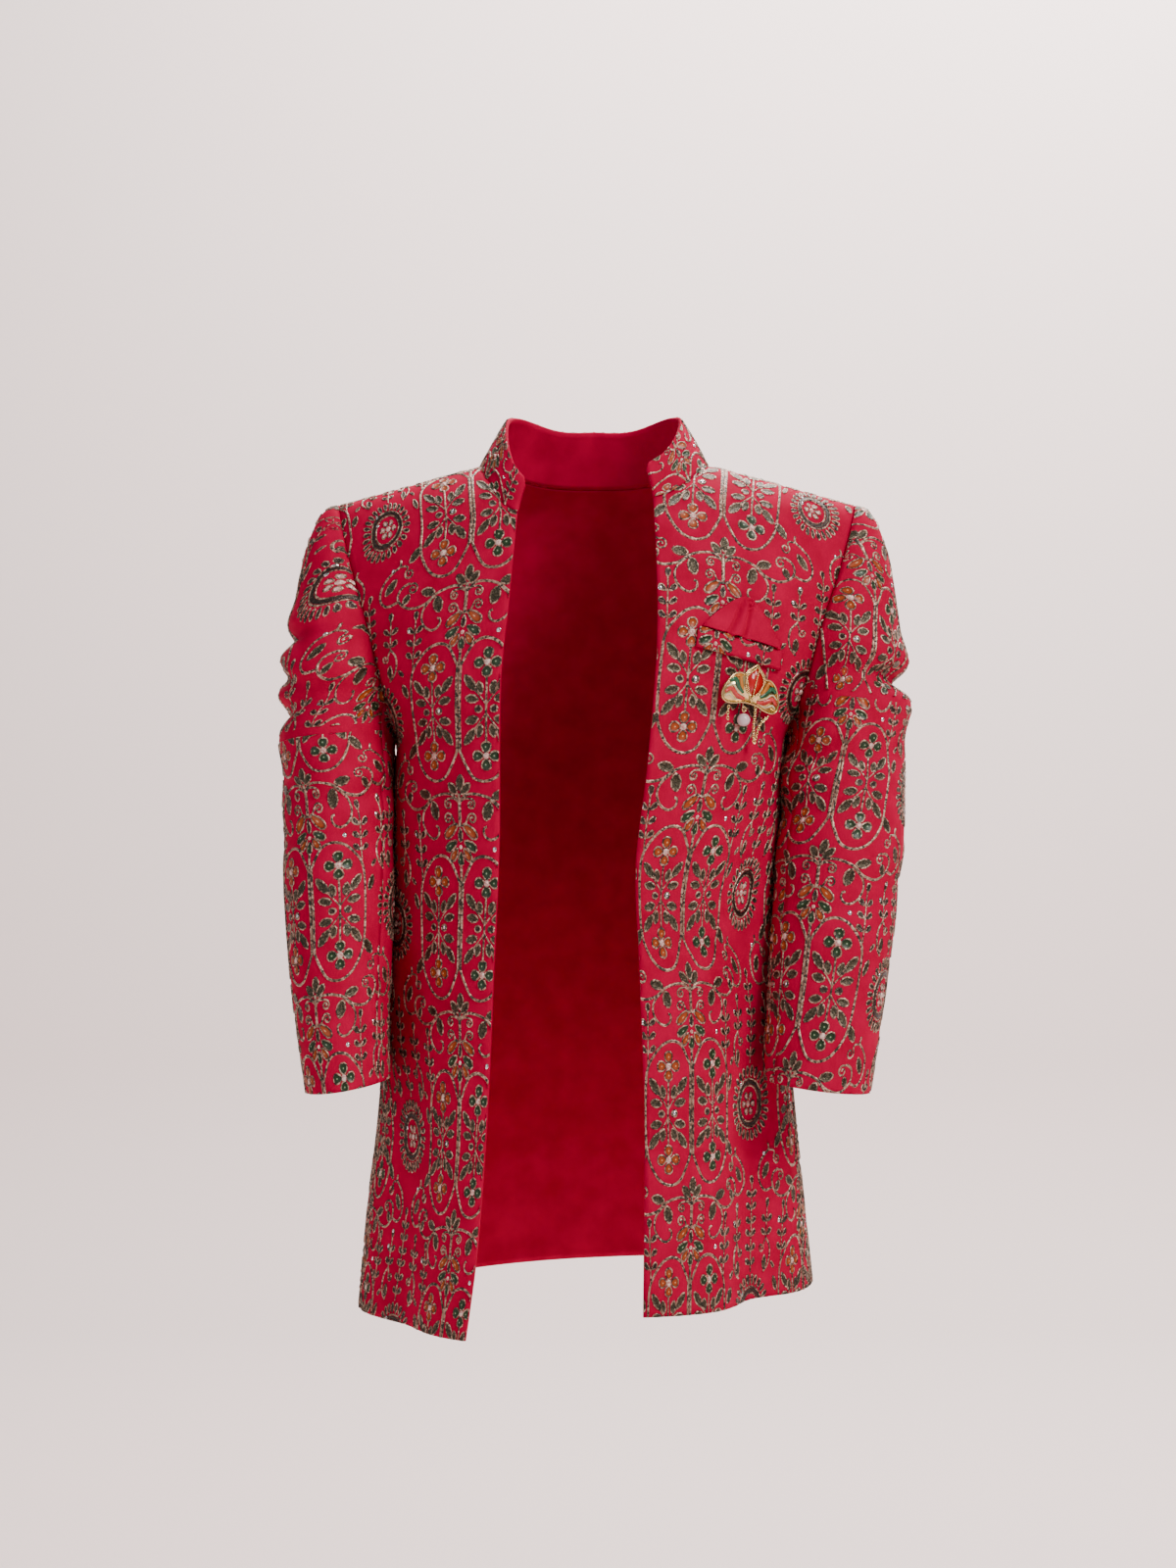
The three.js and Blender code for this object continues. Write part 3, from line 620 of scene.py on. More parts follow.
# ---- The pocket welt --------------------------------------------------------------------------------------
# A narrow stiffened band of the same silk over the breast pocket's mouth, sewn on at a slant.
WELT_LEFT, WELT_RIGHT = 60, 112
WELT_TOP_Z = -107
WELT_HEIGHT = 12.5
WELT_FALL = 0.25
WELT_THICK = 1.3
LIFT = 0.5


def on_breast(x, z, lift):
    """Points of the left front's outer face by their place in the front view, moved out by lift."""
    x, z = np.broadcast_arrays(np.asarray(x, float), np.asarray(z, float))
    turn = np.full(x.shape, 0.8)
    for _ in range(8):
        rise = rise_at(LEFT, turn, z)
        turn = turn_at(LEFT, rise, lambda _: x)
    point = body_point(LEFT, turn, rise)
    across = body_point(LEFT, turn + 1e-3, rise) - point
    up = body_point(LEFT, turn, rise + 1e-3) - point
    normal = np.cross(across, up)
    normal /= np.linalg.norm(normal, axis=-1, keepdims=True)
    return point + [0, -SEAM_GAP / 2, 0] + normal * np.asarray(lift)[..., None], normal


def welt_top(x):
    return WELT_TOP_Z - WELT_FALL * (x - WELT_LEFT)


down = np.linspace(1, 0, 7)[:, None]
welt_x = np.linspace(WELT_LEFT, WELT_RIGHT, 27)[None]
crown = 0.5 * (1 - (2 * down - 1) ** 4) * np.ones_like(welt_x)
welt_face, welt_out = on_breast(welt_x - 1.5 * down, welt_top(welt_x) - down * WELT_HEIGHT,
                                LIFT + WELT_THICK + crown)
welt_width = lengths(welt_face)[:, -1]
charts["pocket_welt"] = {"points": welt_face, "normals": welt_out, "t": np.linspace(0, WELT_HEIGHT, 7),
                         "s0": np.zeros(7), "s1": welt_width}
sewn("pocket_welt", welt_face, WELT_THICK)

# ---- The embroidery: one repeat ----------------------------------------------------------------------
# Twisted metallic cord is laid down in pairs of tall arched frames with a trunk between them. In each
# frame are two four-petalled flowers of glass stones and sprays of leaves. Scrolls, curls, a fan of
# stones and sprigs fill the space between, with a beaded medallion in every second gap.
CORD, LEAF, COPPER, GREEN, PEACH, DARK, SILVER = range(7)
REPEAT_WIDE, REPEAT_TALL = 144, 129
FLOWER_X, FLOWER_Y = 19, 28
MEDALLION_X = REPEAT_WIDE / 2
repeat = bmesh.new()
# A mask that is 1 at each stone's centre and 0 at its rim: the glass paints a highlight and shade from it.
painted_light_mask = repeat.verts.layers.float.new("painted_light_mask")


def smooth_line(points, step):
    """Points step apart on a smooth line through the given ones."""
    p = np.array(points, float)
    ends = np.concatenate([[2 * p[0] - p[1]], p, [2 * p[-1] - p[-2]]])
    t = np.linspace(0, 1, 8, endpoint=False)[:, None]
    parts = []
    for a, b, c, d in zip(ends, ends[1:], ends[2:], ends[3:]):
        parts.append(b + 0.5 * t * (c - a + t * (2 * a - 5 * b + 4 * c - d + t * (3 * (b - c) + d - a))))
    flat = 3 - p.shape[1]
    fine = np.pad(np.concatenate(parts + [p[-1:]]), ((0, 0), (0, flat)))
    count = max(int(lengths(fine[None])[0, -1] / step), 2) + 1
    return respaced(fine[None], count)[0, :, :3 - flat]


def cord(points, wide=1.5, tall=0.8, step=1.9):
    """A raised cord stitched down along a smooth line."""
    line = smooth_line(points, step)
    run = np.gradient(line, axis=0)
    run /= np.linalg.norm(run, axis=1, keepdims=True)
    last = len(line) - 1
    for vert in bmesh.ops.create_grid(repeat, x_segments=last, y_segments=2, size=0.5)["verts"]:
        i = round((vert.co.x + 0.5) * last)
        off = round(vert.co.y * 2)
        x, y = line[i] + np.array([-run[i][1], run[i][0]]) * off * wide / 2
        vert.co = (x, y, tall * (1 - abs(off)))


def curl(centre, radius, start, turns, wide=1.2, lead=()):
    """A cord that winds in on itself, after the points it comes from. Minus turns wind clockwise."""
    count = int(8 * abs(turns)) + 1
    t = np.linspace(0, 1, count)
    angle = np.radians(start) + 2 * np.pi * turns * t
    size = radius * (1 - 0.8 * t)
    spiral = [(centre[0] + r * np.cos(a), centre[1] + r * np.sin(a)) for r, a in zip(size, angle)]
    cord([*lead, *spiral], wide, 0.7, 1.5)


def bordered(base, tip, wide, fill, sides=9, rim=0.95, blunt=0.0, dome=0.5):
    """A leaf, petal or drop from its base to its tip: a filling, with a fine cord round it."""
    base, tip = np.array(base, float), np.array(tip, float)
    middle, axis = (base + tip) / 2, (tip - base) / 2
    side = np.array([-axis[1], axis[0]]) / np.hypot(*axis)
    made = bmesh.ops.create_circle(repeat, cap_ends=True, segments=sides, radius=1)["verts"]
    for vert in made:
        along_it, across_it = vert.co.x, vert.co.y
        swell = wide / 2 * across_it * (1 + blunt * along_it) * (1 if blunt else 1.25 * abs(across_it) ** 0.3)
        x, y = middle + axis * along_it + side * swell
        vert.co = (x, y, 0.02)
    face = made[0].link_faces[0]
    if face.normal.z < 0:
        face.normal_flip()
    bmesh.ops.inset_individual(repeat, faces=[face], thickness=rim / 2, depth=0.55, use_even_offset=True)
    bmesh.ops.inset_individual(repeat, faces=[face], thickness=rim / 2, depth=-0.4, use_even_offset=True)
    face.material_index = fill
    centre = bmesh.ops.poke(repeat, faces=[face], offset=dome)["verts"][0]
    # The centre takes the painted highlight of the glass stones.
    centre[painted_light_mask] = 1


def bead(x, y, radius, fill, sides=6, tall=0.8):
    made = bmesh.ops.create_circle(repeat, cap_ends=True, segments=sides, radius=radius)["verts"]
    for vert in made:
        vert.co += Vector((x, y, 0.1))
    face = made[0].link_faces[0]
    face.material_index = fill
    bmesh.ops.inset_individual(repeat, faces=[face], thickness=radius * 0.35, depth=tall * 0.8)
    centre = bmesh.ops.poke(repeat, faces=[face], offset=tall * 0.2)["verts"][0]
    centre[painted_light_mask] = 1


def flower(x, y, stone):
    for dx, dy in ((1, 0), (0, 1), (-1, 0), (0, -1)):
        bordered((x + 1.3 * dx, y + 1.3 * dy), (x + 9.3 * dx, y + 9.3 * dy), 7.2, stone, 10, 1.0, 0.22, 0.9)
    bead(x, y, 2.3, PEACH)


def sprig(x, foot, drops, reach=3.9):
    """A straight stem with pairs of small drops, and a single one on top."""
    top = drops[-1]
    cord([(x, foot), (x, (foot + top) / 2), (x, top - 3)], 1.1, 0.6, 3)
    for y in drops[:-1]:
        for way in (-1, 1):
            bordered((x + 0.6 * way, y - 2), (x + (reach + 2) * way, y + 2.2), 4.1, DARK, 7, 0.8, 0.3, 0.3)
    bordered((x, top - 3.4), (x, top + 3.2), 4.1, DARK, 7, 0.8, 0.3, 0.3)


def swung(points, way):
    """The same points to one side (1) or the other (-1) of the trunk."""
    return [(x * way, y) for x, y in points]


def leaves(rows, way):
    """Leaves and stones, each from its base to its tip, to one side of the trunk."""
    for base, tip, *form in rows:
        bordered(*swung([base, tip], way), *form)


for way, stone in ((-1, COPPER), (1, GREEN)):
    x = way * FLOWER_X
    flower(x, FLOWER_Y, stone)
    flower(x, -FLOWER_Y, stone)
    cord([(x, 20), (x, 10), (x, 0), (x, -10), (x, -20)], 1.4, 0.7, 3)
    for dx in (-1, 1):
        bordered((x + 2.1 * dx, -0.3), (x + 7.8 * dx, 0.3), 5.2, DARK, 8, 1.0, 0.1, 0.4)
        for dy in (-1, 1):
            cord([(x, 2.5 * dy), (x + 3 * dx, 6.5 * dy), (x + 7.4 * dx, 11.5 * dy)], 1.0, 0.6, 2.4)
            bordered((x + 6.8 * dx, 11 * dy), (x + 15 * dx, 21.6 * dy), 4.9, LEAF)
            bordered((x + 3.2 * dx, 8.6 * dy), (x + 5.4 * dx, 17.2 * dy), 4.3, LEAF)
            bordered((x + 4.6 * dx, 5.4 * dy), (x + 14.2 * dx, 7.4 * dy), 4.8, LEAF)
    frame_line = [(0.9, 27), (4.6, 34), (9, 40.4), (15.5, 42.8), (23, 41), (29.5, 35.5), (34.4, 28.8),
                  (36.4, 20), (36.7, 0), (36.3, -20), (33, -31), (26.5, -40), (18.5, -43.6), (10.5, -41.5),
                  (5, -33.5), (1, -25)]
    cord(swung(frame_line, way), 1.9, 0.9)
    cord(swung([(1.1, 27.5), (1.1, 0), (1.1, -25.5)], way), 2.1, 0.9, 2.6)
    # The fan of stones over the trunk, its curls, and the bud on top.
    leaves([
        ((1.6, 61), (12.4, 52.5), 6.4, COPPER, 10, 1.0, 0.25, 0.9),
        ((2.4, 51.5), (12, 45.6), 6.0, GREEN, 9, 1.0, 0.25, 0.9),
        ((2, 47.6), (7.8, 39.6), 5.4, COPPER, 9, 1.0, 0.25, 0.9)], way)
    curl((8.8 * way, 63.6), 3.4, 90 + 90 * way, -1.5 * way, 1.3, swung([(0.8, 59.6), (3.4, 60)], way))
    curl((8.2 * way, 71.6), 3.1, 90, -1.5 * way, 1.3, swung([(0.8, 73), (3.8, 74.8)], way))
    leaves([((1.2, 77), (8, 84.6), 4.8, LEAF)], way)
    # The long scroll out towards the next medallion, with its leaves.
    cord(swung([(0.8, 73.5), (5.4, 77), (12, 77.4), (21.4, 74.8), (28.8, 69.8), (38.8, 68.4),
                (46.6, 72.2), (49.8, 78), (47.6, 83.4), (42.2, 85.6)], way), 1.8)
    curl((39.2 * way, 81.4), 4, 60 if way > 0 else 120, 1.4 * way, 1.4, swung([(42.2, 85.6)], way))
    leaves([
        ((22, 75.6), (33, 78.6), 5.4, LEAF),
        ((21, 73.6), (18, 62.2), 6.2, LEAF),
        ((45.4, 71.6), (41.2, 78.6), 4.4, LEAF)], way)
    cord(swung([(21.8, 74), (29, 67.8), (31, 61.6), (28, 55.2), (22, 52), (17.4, 54.2), (16.8, 58.2),
                (19, 59.2)], way), 1.6)
    # The great scroll beside the medallion's axis, and the leaf on the frame's side.
    cord(swung([(49.6, 74.6), (57.6, 73.2), (63, 78), (64, 85), (61.4, 91.4), (56, 96), (51.4, 99),
                (52, 103)], way), 1.8)
    curl((43 * way, 92.6), 4, 60 if way > 0 else 120, -1.4 * way, 1.4, swung([(51, 98.4), (46.4, 98)], way))
    leaves([
        ((60, 80.4), (52.4, 91), 5.2, LEAF),
        ((35, 109.6), (44.6, 99.2), 5.4, LEAF)], way)
    # Sprigs beside the frames.
    sprig(35 * way, 29.5, [38, 46, 54, 63.4])
    sprig(54 * way, 44, [48, 56, 65.6])
    cord(swung([(54, 44.4), (49.6, 39.6), (48.8, 33), (51.4, 27), (56, 23.4)], way), 1.6)
    curl((59 * way, 38.8), 3.2, 90 + 60 * way, 1.4 * way, 1.3, swung([(54, 44.4)], way))
    leaves([
        ((55.4, 24.6), (54.6, 34.4), 4.6, LEAF),
        ((44, 20.4), (39.8, 10), 4.4, LEAF),
        ((47.6, 30), (42.6, 25.2), 3.4, DARK, 7, 0.9, 0.2, 0.3)], way)
bordered((0, 45.6), (0, 36.8), 5.2, GREEN, 9, 1.0, 0.25, 0.9)
bordered((0, 58.8), (0, 50.2), 4, DARK, 8, 0.9, 0.25, 0.4)
bead(0, 47.8, 1.4, PEACH)
cord([(0, 38), (0, 33), (0, 27)], 2.0, 0.9, 2.4)
cord([(0, 59), (0, 68), (0, 78)], 2.4, 0.9, 2.4)
bordered((0.4, 79), (1.2, 90), 5.2, LEAF)
# The medallion, and the tall sprig that stands on it.
PETALS, PETAL_FOOT, PETAL_TIP = 26, 16, 23.8
for n in range(PETALS):
    angle = 2 * np.pi * n / PETALS
    ray = np.array([np.cos(angle), np.sin(angle)])
    bordered([MEDALLION_X, 0] + PETAL_FOOT * ray, [MEDALLION_X, 0] + PETAL_TIP * ray, 3.9, DARK, 7,
             0.85, 0.3, 0.3)
ring_line = [(np.cos(a), np.sin(a)) for a in np.linspace(0, 2 * np.pi, 17)]
for radius, wide in ((11.2, 1.2), (15.2, 1.3)):
    cord([(MEDALLION_X + radius * x, radius * y) for x, y in ring_line], wide, 0.8, 2.4)
sound = bmesh.ops.create_circle(repeat, segments=28, radius=12)
band_edges = list({edge for vert in sound["verts"] for edge in vert.link_edges})
for vert in sound["verts"]:
    vert.co += Vector((MEDALLION_X, 0, 0.45))
grown = bmesh.ops.extrude_edge_only(repeat, edges=band_edges)["geom"]
for piece in grown:
    if isinstance(piece, bmesh.types.BMVert):
        piece.co.x = MEDALLION_X + (piece.co.x - MEDALLION_X) * 1.2
        piece.co.y *= 1.2
    elif isinstance(piece, bmesh.types.BMFace):
        piece.material_index = DARK
        piece.normal_update()
        if piece.normal.z < 0:
            piece.normal_flip()
bead(MEDALLION_X, 0, 2.2, PEACH, 7)
for n in range(6):
    angle = 2 * np.pi * n / 6
    bordered((MEDALLION_X + 2.4 * np.cos(angle), 2.4 * np.sin(angle)),
             (MEDALLION_X + 8 * np.cos(angle), 8 * np.sin(angle)), 4.6, PEACH, 8, 1.0, 0.25, 0.9)
sprig(MEDALLION_X, 24.5, [31, 39.5, 48.4, 56, 64.4, 72, 80.6], 3.4)
for x, y in ((54, 67), (49.4, 57.2), (-39.6, 54), (24, 46.8), (-57, 96.6), (-14, 0.2), (62, 12), (62, 5)):
    bead(x, y, 1.5, SILVER, 7, 0.5)

repeat_mesh = bpy.data.meshes.new("embroidery_repeat")
repeat.to_mesh(repeat_mesh)
repeat.free()

# ---- The embroidery: its threads and stones -----------------------------------------------------------
# Gold cord flecked with grey-green, chopped metallic purl in the leaves, moulded glass in copper and
# bottle green with painted shade at each petal's edge and a painted highlight at its middle, and small pink
# and silver beads.


def plain_material(name, colour, roughness, metallic):
    material = bpy.data.materials.new(name)
    material.use_nodes = True
    shader = material.node_tree.nodes["Principled BSDF"]
    shader.inputs["Base Color"].default_value = (*colour, 1)
    shader.inputs["Roughness"].default_value = roughness
    shader.inputs["Metallic"].default_value = metallic
    return material


def flecked(name, scale, colours, roughness, metallic, strength=0.5):
    """A finish whose colour changes from fleck to fleck, each fleck a little raised."""
    material = plain_material(name, colours[0], roughness, metallic)
    tree = material.node_tree
    shader = tree.nodes["Principled BSDF"]
    where = tree.nodes.new("ShaderNodeTexCoord")
    cells = tree.nodes.new("ShaderNodeTexVoronoi")
    cells.inputs["Scale"].default_value = scale
    tree.links.new(where.outputs["Object"], cells.inputs["Vector"])
    ramp = tree.nodes.new("ShaderNodeValToRGB")
    ramp.color_ramp.interpolation = "CONSTANT"
    for n, colour in enumerate(colours):
        place = n / len(colours)
        stop = ramp.color_ramp.elements[n] if n < 2 else ramp.color_ramp.elements.new(place)
        stop.position = place
        stop.color = (*colour, 1)
    one_channel = tree.nodes.new("ShaderNodeSeparateColor")
    tree.links.new(cells.outputs["Color"], one_channel.inputs["Color"])
    tree.links.new(one_channel.outputs["Red"], ramp.inputs["Fac"])
    tree.links.new(ramp.outputs["Color"], shader.inputs["Base Color"])
    relief = tree.nodes.new("ShaderNodeBump")
    relief.inputs["Strength"].default_value = strength
    relief.inputs["Distance"].default_value = 0.0004
    relief.invert = True
    tree.links.new(cells.outputs["Distance"], relief.inputs["Height"])
    tree.links.new(relief.outputs["Normal"], shader.inputs["Normal"])
    return material


def glass_stone(name, edge, body, painted_highlight):
    """Coloured glass, its edge darkened with painted shade and its middle brightened with a painted
    highlight.
    """
    material = plain_material(name, body, 0.34, 0.0)
    tree = material.node_tree
    shader = tree.nodes["Principled BSDF"]
    shader.inputs["Specular IOR Level"].default_value = 0.25
    middle = tree.nodes.new("ShaderNodeAttribute")
    middle.attribute_name = "painted_light_mask"
    # The ramp paints light onto the glass: painted shade at the stone's rim, its own colour between, and a
    # painted highlight at its middle.
    ramp = tree.nodes.new("ShaderNodeValToRGB")
    ramp.color_ramp.elements[0].color = (*edge, 1)
    ramp.color_ramp.elements[1].position = 0.95
    ramp.color_ramp.elements[1].color = (*painted_highlight, 1)
    stop = ramp.color_ramp.elements.new(0.3)
    stop.color = (*body, 1)
    stop = ramp.color_ramp.elements.new(0.74)
    stop.color = (*body, 1)
    tree.links.new(middle.outputs["Fac"], ramp.inputs["Fac"])
    tree.links.new(ramp.outputs["Color"], shader.inputs["Base Color"])
    return material


threads = {
    CORD: flecked("gold_cord", 780, [(0.42, 0.25, 0.18), (0.07, 0.052, 0.04), (0.58, 0.39, 0.29),
                                     (0.2, 0.12, 0.085), (0.035, 0.03, 0.024), (0.34, 0.2, 0.14)], 0.42, 0.5),
    LEAF: flecked("olive_purl", 1400, [(0.055, 0.041, 0.022), (0.1, 0.077, 0.048), (0.028, 0.022, 0.012)],
                  0.4, 0.6),
    COPPER: glass_stone("copper_glass", (0.11, 0.01, 0.003), (0.36, 0.055, 0.01), (0.85, 0.45, 0.22)),
    GREEN: glass_stone("green_glass", (0.006, 0.013, 0.006), (0.02, 0.042, 0.016), (0.4, 0.5, 0.32)),
    PEACH: flecked("peach_beads", 1100, [(0.75, 0.42, 0.38), (0.85, 0.62, 0.54), (0.6, 0.25, 0.22)],
                   0.3, 0.1),
    DARK: flecked("dark_purl", 1400, [(0.03, 0.012, 0.01), (0.07, 0.04, 0.03), (0.014, 0.008, 0.006)],
                  0.35, 0.5),
    SILVER: plain_material("silver_sequin", (0.8, 0.8, 0.82), 0.16, 1.0),
}

# ---- The embroidery: sewn to each panel -------------------------------------------------------------------
# The cloth is embroidered before it is cut, so every panel shows the same repeat, cut through at its
# seams and edges. Each front's long dart swallows a strip of it.
STITCH_LIFT = 0.06


def lay(chart, flat):
    """Where flat points (s, t, height) of a chart come to lie on the body, and which are on it."""
    rows, cols = chart["points"].shape[:2]
    step = chart["t"][1] - chart["t"][0]
    r = (flat[:, 1] - chart["t"][0]) / step
    i = np.clip(np.floor(r).astype(int), 0, rows - 2)
    down = np.clip(r - i, 0, 1)[:, None]
    start = np.interp(flat[:, 1], chart["t"], chart["s0"])
    end = np.interp(flat[:, 1], chart["t"], chart["s1"])
    c = (flat[:, 0] - start) / (end - start) * (cols - 1)
    j = np.clip(np.floor(c).astype(int), 0, cols - 2)
    across = np.clip(c - j, 0, 1)[:, None]

    def blend(grid):
        return (grid[i, j] * (1 - down) * (1 - across) + grid[i, j + 1] * (1 - down) * across
                + grid[i + 1, j] * down * (1 - across) + grid[i + 1, j + 1] * down * across)
    normal = blend(chart["normals"])
    normal /= np.linalg.norm(normal, axis=1, keepdims=True)
    inside = (r >= 0) & (r <= rows - 1) & (c >= 0) & (c <= cols - 1)
    if "top" in chart:
        inside &= flat[:, 1] <= np.interp(c, np.arange(cols), chart["top"])
    if "rises" in chart:
        inside &= np.interp(flat[:, 1], chart["t"], chart["rises"]) < back_top(1 - 2 * c / (cols - 1)) - 0.01
    return blend(chart["points"]) + normal * (flat[:, 2:] + STITCH_LIFT), inside


# The grain of each panel: how its repeat lies on the body. Row by row, the height on the repeat, the
# height on the panel, where the trunk runs, how full the repeat is spread, and how far the medallion's
# axis is from the trunk. Darts, folds and tucks swallow the cloth between rows.
GRAIN = {
    "front_left": [[-420, -378, 27, 0.68, 57], [-357, -319, 28, 0.68, 56], [-311, -273, 29, 0.76, 55],
                   [-258, -222, 29, 0.78, 50], [-205, -169, 31, 0.78, 51], [-180, -145, 31, 0.76, 47],
                   [-157, -121, 27, 0.68, 46], [-129, -93, 29, 0.73, 45], [-100, -66, 33.5, 0.84, 51],
                   [-53, -17, 38, 0.98, 69], [0, 34.4, 39, 1, 74], [72, 104, 42, 1, 72],
                   [129, 157, 43.5, 1, 58], [190, 215, 45, 1, 54]],
    "front_right": [[-440, -418, -17, 0.66, 50], [-357, -340, -17, 0.64, 50], [-311, -294, -18, 0.63, 46],
                    [-258, -243, -18, 0.64, 43], [-229, -215, -19, 0.68, 46], [-205, -188, -20, 0.78, 55],
                    [-157, -141, -23, 0.83, 57], [-100, -85, -24, 0.9, 63], [-53, -34, -27, 1, 70],
                    [0, 17.7, -28, 1.02, 74], [76, 90, -27.5, 0.96, 72], [129, 139, -27.5, 0.91, 56],
                    [190, 196, -29, 0.9, 52]],
    "back": [[-420, -390, MEDALLION_X, 1, MEDALLION_X], [0, 27, MEDALLION_X, 1, MEDALLION_X],
             [190, 212, MEDALLION_X, 1, MEDALLION_X]],
    "sleeve_top_left": [[-200, -10, -27, 1, 66], [-129, 60.7, -19.5, 1.03, 66], [-53, 139, -15, 1, 66],
                        [0, 190, -5.4, 0.94, 64], [53, 238, 3, 0.9, 64], [58, 244, 4, 0.85, 62],
                        [92, 248, 10, 0.8, 60], [100, 255, 13, 0.78, 60], [129, 285, 22, 0.78, 60],
                        [158, 316, 32, 0.8, 60], [245, 400, 46, 0.85, 62]],
    "sleeve_under_left": [[-200, -12, 51, 1, MEDALLION_X], [190, 378, 51, 1, MEDALLION_X]],
    "sleeve_top_right": [[-150, -42, -14, 1, 70], [-53, 57, -12, 1, 70], [0, 108, -11.5, 1, 70],
                         [53, 160, -13, 0.96, 68], [76, 188, -17.5, 0.95, 68], [100, 208, -21, 0.95, 68],
                         [112, 219, -22, 0.95, 68], [165, 224, 22, 0.95, 70], [182, 240, 28, 0.95, 70],
                         [258, 325, 56, 1, 72], [340, 407, 70, 1, 72]],
    "sleeve_under_right": [[-180, -72, 52, 1, MEDALLION_X], [210, 318, 52, 1, MEDALLION_X]],
    "collar": [[0, -28, 0, 1, MEDALLION_X], [129, 101, 0, 1, MEDALLION_X]],
    "pocket_welt": [[0, -43, 13, 1, MEDALLION_X], [129, 86, 13, 1, MEDALLION_X]],
}


def grained(flat, grain, side):
    """Flat points of the repeat, as this panel's grain lays them. The other points are in a tuck."""
    y, t, trunk, full, reach = np.array(grain, float).T
    trunk, full, reach = (np.interp(flat[:, 1], y, column) for column in (trunk, full, reach))
    out = flat[:, 0] * side
    frame_end = 37
    between = full * frame_end + (reach - full * frame_end) * (out - frame_end) / (MEDALLION_X - frame_end)
    beyond = reach + (out - MEDALLION_X) * full * 0.85
    s = np.where(out < frame_end, full * out, np.where(out < MEDALLION_X, between, beyond))
    steep = np.diff(y) > 3 * np.diff(t)
    row = np.clip(np.searchsorted(y, flat[:, 1]) - 1, 0, len(y) - 2)
    return np.stack([trunk + side * s, np.interp(flat[:, 1], y, t), flat[:, 2]], -1), ~steep[row]


def stitched(name):
    """The embroidery on one panel."""
    chart, grain = charts[name], GRAIN[name]
    side = RIGHT if name == "front_right" else LEFT
    first, last = -3, 3
    low = int(np.floor(grain[0][0] / REPEAT_TALL))
    high = int(np.ceil(grain[-1][0] / REPEAT_TALL))
    embroidery = bpy.data.objects.new(f"embroidery_{name}", repeat_mesh)
    bpy.context.collection.objects.link(embroidery)
    for count, offset in ((last - first + 1, (REPEAT_WIDE, 0, 0)), (high - low + 1, (0, REPEAT_TALL, 0))):
        array = embroidery.modifiers.new("repeat", "ARRAY")
        array.count = count
        array.use_relative_offset = False
        array.use_constant_offset = True
        array.constant_offset_displace = offset
    bpy.context.view_layer.update()
    mesh = bpy.data.meshes.new_from_object(embroidery.evaluated_get(bpy.context.evaluated_depsgraph_get()))
    embroidery.modifiers.clear()
    embroidery.data = mesh
    flat = np.empty(len(mesh.vertices) * 3)
    mesh.vertices.foreach_get("co", flat)
    flat = flat.reshape(-1, 3) + [first * REPEAT_WIDE, low * REPEAT_TALL, 0]
    flat, open_cloth = grained(flat, grain, side)
    placed, inside = lay(chart, flat)
    inside &= open_cloth
    mesh.vertices.foreach_set("co", (placed * MM).ravel())
    bm = bmesh.new()
    bm.from_mesh(mesh)
    outside = [face for face in bm.faces if not any(inside[vert.index] for vert in face.verts)]
    bmesh.ops.delete(bm, geom=outside, context="FACES")
    for face in bm.faces:
        face.smooth = True
    bm.to_mesh(mesh)
    bm.free()
    dressed(embroidery, *threads.values())
    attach(embroidery, "root")
    return embroidery


# What shows of each panel, laid flat, in metres and square metres: its width, length and area without
# allowances, and the panels it is sewn to.
CUTS = {
    "front_left": (0.163, 0.538, 0.0722, ["back", "collar"]),
    "front_right": (0.122, 0.555, 0.0619, ["back", "collar"]),
    "back": (0.389, 0.538, 0.1827, ["collar"]),
    "sleeve_top_left": (0.189, 0.395, 0.0601, ["front_left", "back"]),
    "sleeve_under_left": (0.079, 0.278, 0.0165, ["front_left", "back"]),
    "sleeve_top_right": (0.185, 0.397, 0.0593, ["front_right", "back"]),
    "sleeve_under_right": (0.083, 0.277, 0.0177, ["front_right", "back"]),
    "collar": (0.346, 0.038, 0.0101, ["back"]),
    "pocket_welt": (0.062, 0.0125, 0.00077, ["front_left"]),
}
for name, (width, length, area, sewn_to) in CUTS.items():
    stitched(name)

# ---- The pocket square ----------------------------------------------------------------------------------
# A plain crimson handkerchief pushed into the breast pocket in one soft peak. Two creases run down from
# a small twist at its top.
SQUARE_LEFT, SQUARE_RIGHT = 63, 111
SQUARE_PEAK = 0.56
SQUARE_HEIGHT = 26
SQUARE_THICK = 3

across = np.linspace(0, 1, 65)[None]
up = np.linspace(0, 1, 33)[:, None]
climb = np.where(across < SQUARE_PEAK, across / SQUARE_PEAK, (1 - across) / (1 - SQUARE_PEAK))
square_top = 1.5 + (SQUARE_HEIGHT - 1.5) * (1 - (1 - climb) ** 1.35) * (1 - 0.06 * bump((1 - climb) / 0.07))
square_x = mix(SQUARE_LEFT, SQUARE_RIGHT, across)
first_crease = 0.3 + 0.2 * up ** 0.8
second_crease = 0.49 + 0.1 * up ** 0.6
fade = 1 - smoothstep(up, 0.7, 0.95)
twist = np.hypot((across - 0.585) * 48, (up - 0.86) * 24)
creases = (1.3 * bump((across - (first_crease + second_crease) / 2) / 0.07)
           - 2.4 * bump((across - first_crease) / 0.03) - 2.6 * bump((across - second_crease) / 0.026))
knot = 1.1 * bump((twist - 3) / 0.8) + 1.2 * bump(twist / 1.1) - 1.1 * bump((twist - 1.8) / 0.5)
rolled_edge = -1.4 * bump(np.minimum(across, 1 - across) / 0.03)
relief = creases * fade + knot + rolled_edge + 0.4 * np.sin(9 * across + 4 * up)
square_face, _ = on_breast(square_x + 0 * up, welt_top(square_x) + 0.6 + square_top * up,
                           LIFT + SQUARE_THICK + relief)
plain_silk = silk.copy()
plain_silk.name = "plain_silk"
square = dressed(wall("pocket_square", square_face, SQUARE_THICK - 0.5), plain_silk)
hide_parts("pocket_square")

